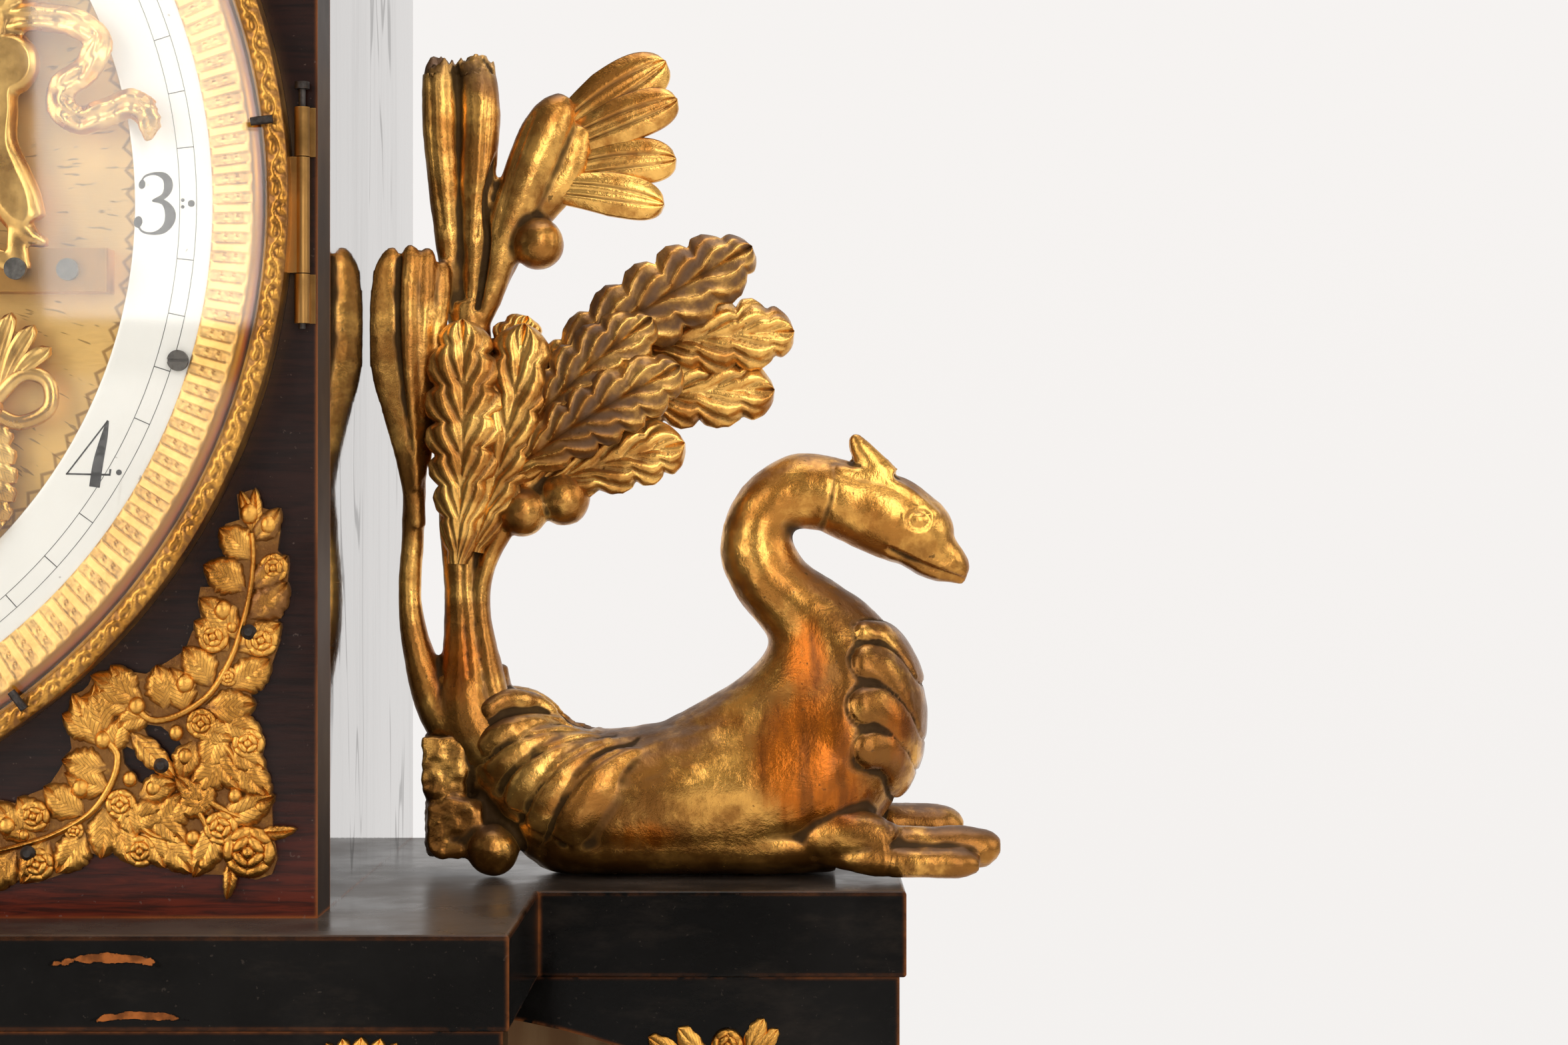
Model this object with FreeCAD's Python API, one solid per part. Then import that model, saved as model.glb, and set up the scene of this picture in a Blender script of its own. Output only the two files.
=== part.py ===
import FreeCAD, Part
import math
import os

V = FreeCAD.Vector
os.makedirs("parts", exist_ok=True)

# Sizes are in millimetres. X is right, the front faces minus Y and Z is up.
# The origin is on the floor under the middle of the plinth.

# Lower stage
foot_height = 14.0
foot_radius = 13.0
foot_inset = 18.0
plinth_thickness = 20.0
plinth_overhang = 6.0
plinth_step_height = 6.0
plinth_step_inset = 3.0
portal_height = 160.0
portal_board = 8.0
portal_setback = 1.5
portal_end_inset = 1.0
front_arch_half = 78.0
front_arch_drop = 15.0
apron_leg = 11.5
apron_rail = 5.0
apron_haunch_wide = 68.0
apron_haunch_tall = 38.0

# Entablature slab
slab_thickness = 13.3
slab_width = 361.0
slab_centre_width = 248.0
slab_front_overhang = 18.0
slab_edge_round = 0.6

# Upper case
case_width = 190.0
case_depth = 112.0
case_height = 204.4
wing_setback = 32.0
front_board = 12.0
side_board = 8.0
top_board = 8.0
door_board = 8.0
door_gap = 0.5
cornice_thickness = 13.3
cornice_overhang = 10.0
top_block_height = 16.0
top_block_width = 160.0
top_block_depth = 92.0

# Dial
bezel_side_margin = 3.4
bezel_top_margin = 10.6
enamel_width = 11.2
enamel_lap = 3.0
enamel_thickness = 2.2
dial_plate_lap = 2.8
dial_plate_thickness = 2.3
dial_seat_gap = 0.2
dial_seat_ledge = 4.0
dial_screw_inset = 1.6
dial_screw_angle = -16.65
dial_screw_head = 1.5
sight_band = 5.3
sight_slope = 2.5
sight_height = 2.6
shelf_end_gap = 3.3
shelf_height = 6.2
shelf_drop = 6.6
shelf_front = 3.0
bolt_end_inset = 5.4
bolt_spacing = 7.1
bolt_head = 1.55
bolt_shaft = 0.9
lever_thickness = 1.0

# Bezel
bezel_wall = 2.8
bezel_lip_width = 0.7
bezel_sight_gap = 0.3
bezel_height = 6.0
bezel_face_gap = 0.2
glass_edge_gap = 0.1
glass_seat = 3.2
glass_thickness = 1.6
glass_rise = 18.0
glass_pin_radius = 0.6
glass_pin_angle = 7.2
bezel_hinge_gap = 1.4
bezel_hinge_lift = 1.3
bezel_knuckle = 1.1
bezel_hinge_pin = 0.5
bezel_knuckle_end = 7.0
bezel_knuckle_mid = 16.5
hinge_end_gap = 0.15
run_gap = 0.08

# Rear door hinges
door_knuckle = 1.6
door_pin = 0.8
door_hinge_length = 24.0
door_hinge_place = 62.0
door_hinge_plate = 0.8
door_knob_radius = 5.0

# Movement
plate_half = 50.0
plate_below = 46.0
plate_above = 62.0
plate_thickness = 2.5
plate_gap = 45.0
plate_setback = 17.0
pillar_radius = 3.5
pivot = 0.9
arbor = 1.4
barrel_side = 22.0
barrel_module = 0.7
train_module = 0.5
great_teeth = 72
great_pinion = 10
centre_teeth = 84
third_pinion = 7
third_teeth = 70
escape_pinion = 7
escape_teeth = 30
escape_radius = 14.0
third_side = 12.2
pallet_rise = 19.8
cannon_teeth = 12
minute_teeth = 36
minute_pinion = 10
hour_teeth = 40
drum_radius = 17.0
drum_wall = 1.0
drum_length = 24.0
winding_arbor = 2.2
winding_square = 3.2
cannon_pipe = 1.7
hour_pipe = 2.6
hour_hand_inset = 20.8
minute_hand_inset = 6.0
hand_hour = 10
hand_minute = 9
pendulum_length = 248.0
pendulum_depth = 84.0
pendulum_slot_share = 0.065
pendulum_rod = 1.2
bob_radius = 22.0
bob_thickness = 9.0
bell_radius = 22.0
bell_side = -44.0
bell_rise = 40.0

# Carved beast on the wing, from the case side outward and from the slab up
beast_setback = 59.0
beast_dowel = 2.0
beast_dowel_depth = 5.0

# Places worked out from the sizes above
slab_depth = case_depth + slab_front_overhang
y_slab = -slab_depth / 2
y_rear = slab_depth / 2
y_face = y_slab + slab_front_overhang
y_wing = y_face + wing_setback
case_half = case_width / 2
slab_half = slab_width / 2
slab_centre_half = slab_centre_width / 2
z_step = foot_height + plinth_thickness
z_portal = z_step + plinth_step_height
z_slab = z_portal + portal_height
z_case = z_slab + slab_thickness
z_top_board = z_case + case_height - top_board
z_cornice = z_case + case_height
z_dial = z_case + case_height / 2
bezel_outer = min(case_half - bezel_side_margin, case_height / 2 - bezel_top_margin)
bezel_inner = bezel_outer - bezel_wall
bezel_lip = bezel_inner - bezel_lip_width
glass_radius = bezel_inner - glass_edge_gap
sight_outer = bezel_lip - bezel_sight_gap
sight_crest = sight_outer - sight_slope
enamel_seen = sight_crest - sight_band
enamel_edge = enamel_seen + enamel_lap
enamel_inner = enamel_seen - enamel_width
dial_plate_radius = enamel_edge + dial_plate_lap
dial_opening = enamel_seen - dial_seat_ledge
dial_screw_place = enamel_seen - dial_screw_inset
shelf_reach = enamel_inner - shelf_end_gap
bolt_place_outer = shelf_reach - bolt_end_inset
bolt_place_inner = bolt_place_outer - bolt_spacing
hour_hand_length = enamel_inner - hour_hand_inset
minute_hand_length = enamel_seen - minute_hand_inset
y_dial_back = y_face + enamel_thickness + dial_plate_thickness
y_plate = y_face + plate_setback
y_gears = y_plate + plate_thickness
y_back = y_gears + plate_gap
y_cock = y_back + plate_thickness
y_pendulum = y_face + pendulum_depth
y_beast = y_face + beast_setback


def box(x0, x1, y0, y1, z0, z1):
    return Part.makeBox(x1 - x0, y1 - y0, z1 - z0, V(x0, y0, z0))


def rod_y(x, z, radius, y0, y1):
    return Part.makeCylinder(radius, y1 - y0, V(x, y0, z), V(0, 1, 0))


def rod_z(x, y, radius, z0, z1):
    return Part.makeCylinder(radius, z1 - z0, V(x, y, z0), V(0, 0, 1))


def ring_y(x, z, outer, inner, y0, y1):
    return rod_y(x, z, outer, y0, y1).cut(rod_y(x, z, inner, y0 - 1, y1 + 1))


def ball(x, y, z, radius):
    return Part.makeSphere(radius, V(x, y, z))


def outline(place, start, steps):
    # A step is one point for a line or a pair of points for an arc through the first to the second.
    edges = []
    here = start
    for step in steps:
        if isinstance(step[0], tuple):
            edges.append(Part.Arc(place(*here), place(*step[0]), place(*step[1])).toShape())
            here = step[1]
        else:
            edges.append(Part.LineSegment(place(*here), place(*step)).toShape())
            here = step
    if math.dist(here, start) > 1e-6:
        edges.append(Part.LineSegment(place(*here), place(*start)).toShape())
    return Part.Face(Part.Wire(edges))


def prism_y(start, steps, y0, y1):
    face = outline(lambda x, z: V(x, y0, z), start, steps)
    return face.extrude(V(0, y1 - y0, 0))


def prism_z(points, z0, z1):
    face = outline(lambda x, y: V(x, y, z0), points[0], points[1:])
    return face.extrude(V(0, 0, z1 - z0))


def spun_y(x, z, start, steps):
    # The profile gives radius and Y.
    face = outline(lambda r, y: V(x + r, y, z), start, steps)
    return face.revolve(V(x, 0, z), V(0, 1, 0), 360)


def spun_z(x, y, start, steps):
    # The profile gives radius and Z.
    face = outline(lambda r, z: V(x + r, y, z), start, steps)
    return face.revolve(V(x, y, 0), V(0, 0, 1), 360)


def joined(first, others):
    return first.fuse(others).removeSplitter()


def mirrored_x(shape):
    return shape.mirror(V(0, 0, 0), V(1, 0, 0))


def flipped_z(shape):
    return shape.mirror(V(0, 0, z_dial), V(0, 0, 1))


def pair(shape):
    return [shape, mirrored_x(shape)]


def bar(x0, z0, x1, z1, half, y0, y1):
    # A flat round-ended link between two places on the front.
    along = V(x1 - x0, 0, z1 - z0)
    length = along.Length
    side = V(-along.z, 0, along.x).multiply(half / length)
    corners = [V(x0, y0, z0) + side, V(x1, y0, z1) + side, V(x1, y0, z1) - side, V(x0, y0, z0) - side]
    face = Part.Face(Part.makePolygon(corners + [corners[0]]))
    return face.extrude(V(0, y1 - y0, 0))


nodes = {}


def node(name, shapes):
    shapes = shapes if isinstance(shapes, list) else [shapes]
    solids = [solid for shape in shapes for solid in shape.Solids]
    nodes[name] = solids[0] if len(solids) == 1 else Part.makeCompound(solids)


# Lower stage
def break_front(half, centre_half, front, wing, rear, z0, z1):
    plan = [(-half, rear), (-half, wing), (-centre_half, wing), (-centre_half, front)]
    plan += [(centre_half, front), (centre_half, wing), (half, wing), (half, rear)]
    return prism_z(plan, z0, z1)


def make_feet():
    neck = foot_radius * 0.8
    foot = [
        (foot_radius * 0.7, 0),
        ((foot_radius, foot_height * 0.45), (neck, foot_height * 0.86)),
        (neck, foot_height),
        (0, foot_height),
    ]
    x_out = slab_half + plinth_overhang - foot_inset
    x_mid = slab_centre_half + plinth_overhang - foot_inset
    y_mid = y_wing - plinth_overhang + foot_inset
    y_far = y_rear + plinth_overhang - foot_inset
    places = [(x_mid, y_slab - plinth_overhang + foot_inset), (x_out, y_mid), (x_out, y_far)]
    return [spun_z(side * x, y, (0, 0), foot) for x, y in places for side in (1, -1)]


def make_plinth():
    out = plinth_overhang
    low = break_front(slab_half + out, slab_centre_half + out, y_slab - out, y_wing - out, y_rear + out,
                      foot_height, z_step)
    out = plinth_overhang - plinth_step_inset
    high = break_front(slab_half + out, slab_centre_half + out, y_slab - out, y_wing - out, y_rear + out,
                       z_step, z_portal)
    return joined(low, [high])


portal_front_half = slab_centre_half - portal_end_inset
apron_half = slab_half - portal_end_inset
y_front_board = y_slab + portal_setback
y_apron = y_wing + portal_setback


def make_portal_front():
    board = box(-portal_front_half, portal_front_half, y_front_board, y_front_board + portal_board,
                z_portal, z_slab)
    crown = z_slab - front_arch_drop
    spring = crown - front_arch_half
    arch = prism_y((-front_arch_half, z_portal - 1), [
        (front_arch_half, z_portal - 1),
        (front_arch_half, spring),
        ((0, crown), (-front_arch_half, spring)),
    ], y_front_board - 1, y_front_board + portal_board + 1)
    return board.cut(arch)


def make_portal_apron():
    board = box(-apron_half, apron_half, y_apron, y_apron + portal_board, z_portal, z_slab)
    crown = z_slab - apron_rail
    leg = apron_half - apron_leg
    turn = leg - apron_haunch_wide
    spring = crown - apron_haunch_tall
    y0 = y_apron - 1
    haunch = Part.Ellipse(V(0, 0, 0), apron_haunch_wide, apron_haunch_tall)
    quarter = Part.Arc(haunch, 0, math.pi / 2).toShape()
    quarter.rotate(V(0, 0, 0), V(1, 0, 0), 90)
    right = quarter.copy()
    right.translate(V(turn, y0, spring))
    left = right.mirror(V(0, 0, 0), V(1, 0, 0))
    corner = [V(leg, y0, spring), V(leg, y0, z_portal - 1), V(-leg, y0, z_portal - 1), V(-leg, y0, spring)]
    edges = [Part.LineSegment(corner[i], corner[i + 1]).toShape() for i in range(3)]
    edges.append(Part.LineSegment(V(-turn, y0, crown), V(turn, y0, crown)).toShape())
    wire = Part.Wire(Part.__sortEdges__(edges + [right, left]))
    return board.cut(Part.Face(wire).extrude(V(0, portal_board + 2, 0)))


def make_slab():
    slab = break_front(slab_half, slab_centre_half, y_slab, y_wing, y_rear, z_slab, z_case)
    slab = slab.makeFillet(slab_edge_round, [edge for edge in slab.Edges if edge.BoundBox.ZLength < 0.1])
    swing = pendulum_length * pendulum_slot_share
    slot = box(-swing, swing, y_pendulum - 8, y_pendulum + 8, z_slab - 1, z_case + 1)
    return slab.cut(slot)


node("feet", make_feet())
node("plinth", make_plinth())
node("portal_front", make_portal_front())
node("portal_apron", make_portal_apron())
end_board = box(apron_half - portal_board, apron_half, y_apron + portal_board, y_rear, z_portal, z_slab)
node("portal_sides", pair(end_board))
node("portal_backboard", box(portal_board - apron_half, apron_half - portal_board, y_rear - portal_board,
                             y_rear, z_portal, z_slab))


# Flat gilt mounts on the front board and on the apron
def rosette(x, z, radius, y, height):
    return rod_y(x, z, radius, y - height, y)


def make_portal_mounts():
    solids = []
    x = portal_front_half - 19.5
    top = z_slab - 3.5
    cap = rosette(x, top - 5, 4.2, y_front_board, 2.6)
    leaves = [rosette(x + side * 6.5, top - 6.5, 4.0, y_front_board, 1.8) for side in (1, -1)]
    drops = [rosette(x, top - 10 - 4.5 * k, 4.2 - 0.6 * k, y_front_board, 1.8) for k in range(4)]
    solids += pair(joined(cap, leaves + drops))
    x = apron_half - 28
    z = z_slab - 11
    flower = rosette(x, z, 3.0, y_apron, 2.6)
    petals = [rosette(x + side * 4.2, z + 0.6, 3.0, y_apron, 1.6) for side in (1, -1)]
    tips = [bar(x - 9.5, z - 0.5, x, z, 1.6, y_apron - 1.4, y_apron),
            bar(x, z, x + 9, z + 2.5, 1.8, y_apron - 1.4, y_apron),
            bar(x, z, x + 7, z - 6, 1.8, y_apron - 1.4, y_apron)]
    solids += pair(joined(flower, petals + tips))
    return solids


node("portal_mounts", make_portal_mounts())

# Upper case
def make_case_front():
    board = box(-case_half, case_half, y_face, y_face + front_board, z_case, z_top_board)
    seat = rod_y(0, z_dial, dial_plate_radius + dial_seat_gap, y_face - 1, y_dial_back)
    return board.cut(rod_y(0, z_dial, dial_opening, y_face - 1, y_face + front_board + 1)).cut(seat)


side_inner = case_half - side_board
right_side = box(side_inner, case_half, y_face + front_board, y_rear, z_case, z_top_board)
node("case_side_right", right_side)
node("case_side_left", mirrored_x(right_side))
node("case_top", box(-case_half, case_half, y_face, y_rear, z_top_board, z_cornice))


def make_cornice():
    out = cornice_overhang
    slab = box(-case_half - out, case_half + out, y_face - out, y_rear, z_cornice,
               z_cornice + cornice_thickness)
    z0 = z_cornice + cornice_thickness
    y_mid = (y_face + y_rear) / 2
    block = box(-top_block_width / 2, top_block_width / 2, y_mid - top_block_depth / 2,
                y_mid + top_block_depth / 2, z0, z0 + top_block_height)
    return joined(slab, [block])


node("cornice", make_cornice())

# Cast corner mounts: places are measured inward from the case's right edge and up from the slab.
mount_plate = 1.8
mount_rose = 3.0
rose_arm = [(9.7, 60.3, 2.6), (6.7, 50.0, 5.2), (9.5, 41.0, 6.5), (10.5, 32.0, 5.2), (9.5, 24.0, 5.2),
            (6.5, 17.0, 3.6)]
rose_middle = [(9.5, 9.5, 5.8), (22.0, 22.0, 6.5)]
pin_places = [(9.5, 41.0), (41.0, 9.5), (22.0, 22.0)]
pin_head = 1.1
pin_shaft = 0.5
pin_depth = 5.0


def mount_at(across, up):
    return case_half - across, z_case + up


def make_corner_mount():
    blobs = rose_arm + [(up, across, radius) for across, up, radius in rose_arm] + rose_middle
    solids = []
    for index, (across, up, radius) in enumerate(blobs):
        x, z = mount_at(across, up)
        rose = index in (1, 4, 7, 10, 12)
        solids.append(rosette(x, z, radius, y_face, mount_rose if rose else mount_plate))
    turned_arm = [(up, across, radius) for across, up, radius in rose_arm]
    for run in (rose_arm + [rose_middle[0]], turned_arm + [rose_middle[0]]):
        for here, there in zip(run, run[1:]):
            x0, z0 = mount_at(here[0], here[1])
            x1, z1 = mount_at(there[0], there[1])
            solids.append(bar(x0, z0, x1, z1, 1.6, y_face - mount_plate, y_face))
    for across, up in ((10.5, 32.0), (32.0, 10.5)):
        x0, z0 = mount_at(across, up)
        x1, z1 = mount_at(22.0, 22.0)
        solids.append(bar(x0, z0, x1, z1, 2.2, y_face - mount_plate, y_face))
    return joined(solids[0], solids[1:])


def make_mount_pin(across, up):
    x, z = mount_at(across, up)
    top = y_face - mount_plate
    head = Part.makeCone(pin_head, pin_head * 0.5, 0.7, V(x, top, z), V(0, -1, 0))
    return joined(head, [rod_y(x, z, pin_shaft, top, y_face + pin_depth)])


corner = make_corner_mount()
corner_pins = [make_mount_pin(across, up) for across, up in pin_places]
for pin in corner_pins:
    corner = corner.cut(pin)
node("spandrel_mounts", pair(corner) + pair(flipped_z(corner)))
all_pins = []
for pin in corner_pins:
    all_pins += pair(pin) + pair(flipped_z(pin))
node("mount_pins", all_pins)
case_front = make_case_front().cut(all_pins)


# Dial, from the case face forward
def ahead(distance):
    return y_face - distance


def polar(radius, degrees):
    angle = math.radians(degrees)
    return radius * math.cos(angle), z_dial + radius * math.sin(angle)


hand_axis = (0.0, z_dial)
barrel_reach = barrel_module * (great_teeth + great_pinion) / 2
barrel_fall = math.sqrt(barrel_reach ** 2 - barrel_side ** 2)
going_axis = (barrel_side, z_dial - barrel_fall)
strike_axis = (-barrel_side, z_dial - barrel_fall)
winding_hole = winding_arbor + 1.8

sight = spun_y(0, z_dial, (enamel_seen, ahead(0)), [
    (enamel_seen, ahead(0.3)),
    (sight_crest, ahead(sight_height)),
    ((sight_outer - 0.8, ahead(sight_height - 0.3)), (sight_outer, ahead(1.0))),
    (sight_outer, ahead(0)),
])
node("sight_ring", sight)

enamel = ring_y(0, z_dial, enamel_edge, enamel_inner, y_face, y_face + enamel_thickness)
dial_plate = rod_y(0, z_dial, dial_plate_radius, y_face + enamel_thickness, y_dial_back)
dial_plate = dial_plate.cut(rod_y(0, z_dial, hour_pipe + 1.4, y_face, y_dial_back + 1))
for x, z in (going_axis, strike_axis):
    dial_plate = dial_plate.cut(rod_y(x, z, winding_hole, y_face, y_dial_back + 1))

screws = []
for turn in range(3):
    x, z = polar(dial_screw_place, dial_screw_angle + 120 * turn)
    screw = rod_y(x, z, dial_screw_head, ahead(0.9), y_face)
    slot = box(x - dial_screw_head, x + dial_screw_head, ahead(1.2), ahead(0.4), z - 0.22, z + 0.22)
    screw = joined(screw.cut(slot), [rod_y(x, z, 0.8, y_face, y_dial_back)])
    screws.append(screw)

shelf_top = z_dial - shelf_drop
shelf_middle = shelf_top - shelf_height / 2
shelf = box(-shelf_reach, shelf_reach, ahead(shelf_front), y_face + enamel_thickness,
            shelf_top - shelf_height, shelf_top)
lever_front = shelf_front + 0.15 + lever_thickness
bolts = []
for side in (1, -1):
    for place, under in ((bolt_place_inner, lever_front + 0.15), (bolt_place_outer, shelf_front)):
        x = side * place
        bolt = rod_y(x, shelf_middle, bolt_head, ahead(under + 1.0), ahead(under))
        bolts.append(joined(bolt, [rod_y(x, shelf_middle, bolt_shaft, ahead(under), y_dial_back)]))
node("dial_screws", screws + bolts)
enamel = enamel.cut(screws)
dial_plate = dial_plate.cut(screws + bolts)
node("chapter_ring", enamel)
node("figure_shelf", shelf.cut(bolts))
node("case_front", case_front)


# Garland and bows fixed to the middle of the dial
garland_inset = 5.0
garland_gap = 0.4


def make_garland():
    y = y_face + enamel_thickness - 1.6
    reach = bolt_place_inner - garland_inset
    end = V(reach, y, z_dial - 30)
    low = V(0, y, z_dial - 52)
    start = V(-reach, y, z_dial - 30)
    arc = Part.Wire(Part.Arc(start, low, end).toShape())
    along = arc.Edges[0].tangentAt(arc.Edges[0].FirstParameter)
    ring = Part.Wire(Part.makeCircle(2.6, start, along))
    rope = arc.makePipeShell([ring], True, True)
    extra = []
    for side in (1, -1):
        x = reach * side
        drop = Part.makeCone(2.6, 3.6, 18, V(x, y, z_dial - 30), V(0, 0, -1))
        extra += [drop, ball(x, y, z_dial - 48, 3.6), ball(x, y, z_dial - 30, 3.0)]
        for lean in (-1, 1):
            extra.append(bar(x, z_dial - 30, x + lean * 6, z_dial - 15, 1.6, y - 1.2, y + 1.5))
            loop = rod_y(x + lean * 4.6, z_dial - 25.5, 3.6, y - 1.5, y + 1.5)
            extra.append(loop)
    shape = joined(rope, extra)
    room = rod_y(0, z_dial, enamel_inner - garland_gap, y - 10, y_face + enamel_thickness)
    shelf_room = box(-enamel_inner, enamel_inner, y - 10, y_face + enamel_thickness,
                     z_dial - enamel_inner, shelf_top - shelf_height - garland_gap)
    return shape.common(room).common(shelf_room)


node("centre_garland", make_garland())


# Relief figures rocking on the inner bolts, drawn for a bolt this far from the middle
figure_stance = 53.0


def limb(x0, z0, x1, z1, r0, r1, y):
    start = V(x0, y, z_dial + z0)
    along = V(x1 - x0, 0, z1 - z0)
    shapes = [Part.makeSphere(r0, start), Part.makeSphere(r1, start + along)]
    if abs(r0 - r1) < 0.01:
        shapes.append(Part.makeCylinder(r0, along.Length, start, along))
    else:
        shapes.append(Part.makeCone(r0, r1, along.Length, start, along))
    return shapes


def make_figure():
    y = ahead(2.3)
    shift = bolt_place_inner - figure_stance
    shapes = []
    for x0, z0, x1, z1, r0, r1 in (
        (49.2, 14.0, 53.2, 4.5, 3.2, 2.2), (53.2, 4.5, 52.4, -3.6, 2.2, 1.4),
        (52.4, -3.9, 56.0, -4.2, 1.4, 1.1),
        (45.6, 13.5, 43.4, 4.2, 3.1, 2.2), (43.4, 4.2, 42.6, -3.6, 2.1, 1.4),
        (42.6, -3.9, 39.2, -4.2, 1.4, 1.1),
        (47.4, 15.5, 46.6, 27.0, 4.2, 4.6), (46.6, 28.0, 46.8, 33.0, 2.0, 1.8),
        (43.0, 27.5, 37.0, 22.5, 1.8, 1.5), (37.0, 22.5, 33.5, 28.0, 1.5, 1.2),
        (50.4, 27.5, 55.0, 33.5, 1.8, 1.5), (55.0, 33.5, 52.6, 39.5, 1.5, 1.2),
        (50.0, 17.5, 59.0, 24.5, 1.8, 1.6), (59.0, 24.5, 65.2, 22.6, 1.6, 1.5),
        (65.2, 22.6, 62.0, 17.0, 1.5, 1.4), (62.0, 17.0, 68.2, 14.6, 1.4, 1.4),
        (68.2, 14.6, 71.0, 10.6, 1.4, 1.8),
    ):
        shapes += limb(x0 + shift, z0, x1 + shift, z1, r0, r1, y)
    shapes.append(ball(46.9 + shift, y, z_dial + 37.0, 4.3))
    figure = joined(shapes[0], shapes[1:])
    figure = figure.common(box(0, 90, ahead(lever_front), ahead(0.4), z_dial - 20, z_dial + 60))
    lever_back = ahead(shelf_front + 0.15)
    lever = joined(rod_y(bolt_place_inner, shelf_middle, 2.0, ahead(lever_front), lever_back), [
        bar(bolt_place_inner, shelf_middle, bolt_place_inner - 0.6, z_dial - 3.6, 1.3,
            ahead(lever_front), lever_back),
        bar(bolt_place_inner, shelf_middle, bolt_place_inner - 10.0, z_dial - 3.6, 1.1,
            ahead(lever_front), lever_back),
    ])
    shape = joined(figure, [lever])
    return shape.cut(rod_y(bolt_place_inner, shelf_middle, bolt_shaft + run_gap, ahead(9), y_face))


right_figure = make_figure()
node("figure_right", right_figure)
node("figure_left", mirrored_x(right_figure))

# Bezel with its glass and hinge
bezel_foot = ahead(bezel_face_gap)
bezel_shoulder = ahead(bezel_height - 0.9)
bezel = spun_y(0, z_dial, (bezel_outer, bezel_foot), [
    (bezel_outer, bezel_shoulder),
    (((bezel_outer + bezel_inner) / 2, ahead(bezel_height)), (bezel_inner, bezel_shoulder)),
    (bezel_inner, ahead(glass_seat)),
    (bezel_lip, ahead(glass_seat)),
    (bezel_lip, bezel_foot),
])
glass_curve = (glass_radius ** 2 + glass_rise ** 2) / (2 * glass_rise)


def glass_height(radius):
    return glass_rise - glass_curve + math.sqrt(glass_curve ** 2 - radius ** 2)


half_way = glass_radius / 2
glass = spun_y(0, z_dial, (0, ahead(glass_seat + glass_rise)), [
    (0, ahead(glass_seat + glass_thickness + glass_rise)),
    ((half_way, ahead(glass_seat + glass_thickness + glass_height(half_way))),
     (glass_radius, ahead(glass_seat + glass_thickness))),
    (glass_radius, ahead(glass_seat)),
    ((half_way, ahead(glass_seat + glass_height(half_way))), (0, ahead(glass_seat + glass_rise))),
])
node("bezel_glass", glass)
glass_pins = []
for turn in range(6):
    angle = math.radians(glass_pin_angle + 60 * turn)
    out = V(math.cos(angle), 0, math.sin(angle))
    inner = glass_radius - 1.5
    lift = glass_seat + glass_thickness + glass_height(inner) + glass_pin_radius + 0.1
    start = V(0, ahead(lift), z_dial) + out * inner
    glass_pins.append(Part.makeCylinder(glass_pin_radius, bezel_inner + 1.5 - inner, start, out))
node("glass_pins", glass_pins)
node("bezel_ring", bezel.cut(glass_pins))

hinge_x = bezel_outer + bezel_hinge_gap
hinge_y = ahead(bezel_hinge_lift)
hinge_middle = z_dial - 1.8
middle_half = bezel_knuckle_mid / 2
brackets = []
for side in (1, -1):
    near = hinge_middle + side * (middle_half + hinge_end_gap)
    far = near + side * bezel_knuckle_end
    z0, z1 = min(near, far), max(near, far)
    knuckle = rod_z(hinge_x, hinge_y, bezel_knuckle, z0, z1)
    plate = box(hinge_x - 1.0, case_half - 0.2, ahead(0.6), y_face, z0, z1)
    brackets.append(joined(knuckle, [plate]).cut(rod_z(hinge_x, hinge_y, bezel_hinge_pin, z0 - 1, z1 + 1)))
node("bezel_hinge_brackets", brackets)
pin_low = hinge_middle - middle_half - hinge_end_gap - bezel_knuckle_end - 0.8
pin_high = hinge_middle + middle_half + hinge_end_gap + bezel_knuckle_end + 2.6
hinge_pin = rod_z(hinge_x, hinge_y, bezel_hinge_pin, pin_low, pin_high)
node("bezel_hinge_pin", joined(hinge_pin, [rod_z(hinge_x, hinge_y, 1.05, pin_high, pin_high + 1.0)]))
leaf = rod_z(hinge_x, hinge_y, bezel_knuckle, hinge_middle - middle_half, hinge_middle + middle_half)
tab = box(bezel_outer - 1.5, hinge_x, ahead(bezel_hinge_lift + 0.9), ahead(bezel_hinge_lift - 0.3),
          hinge_middle - middle_half, hinge_middle + middle_half)
tab = tab.cut(rod_y(0, z_dial, bezel_outer, ahead(12), y_face))
leaf = joined(leaf, [tab]).cut(rod_z(hinge_x, hinge_y, bezel_hinge_pin + run_gap, z_dial - 60, z_dial + 60))
node("bezel_hinge_leaf", leaf)

# Rear door on two hinges
door_half = side_inner - door_gap
door = box(-door_half, door_half, y_rear - door_board, y_rear, z_case + door_gap, z_top_board - door_gap)
node("rear_door", door)
door_axis_x = -side_inner + door_gap / 2
door_axis_y = y_rear + door_knuckle + 0.1
z_door = (z_case + z_top_board) / 2
fixed_leaves = []
moving_leaves = []
for side in (1, -1):
    middle = z_door + side * door_hinge_place
    low = middle - door_hinge_length / 2
    high = middle + door_hinge_length / 2
    under = middle - hinge_end_gap
    lower = rod_z(door_axis_x, door_axis_y, door_knuckle, low, under)
    lower_plate = box(-case_half + 1, door_axis_x - 0.2, y_rear, y_rear + door_hinge_plate, low, under)
    lower = joined(lower, [lower_plate])
    fixed_leaves.append(lower.cut(rod_z(door_axis_x, door_axis_y, door_pin, low - 1, high + 1)))
    fixed_leaves.append(rod_z(door_axis_x, door_axis_y, door_pin, low, high))
    upper = rod_z(door_axis_x, door_axis_y, door_knuckle, middle, high)
    upper_plate = box(door_axis_x, door_axis_x + 8, y_rear, y_rear + door_hinge_plate, middle, high)
    upper = joined(upper, [upper_plate])
    moving_leaves.append(upper.cut(rod_z(door_axis_x, door_axis_y, door_pin + run_gap, low - 1, high + 1)))
node("rear_hinge_brackets", fixed_leaves)
node("rear_hinge_leaves", moving_leaves)
knob = door_knob_radius
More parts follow.
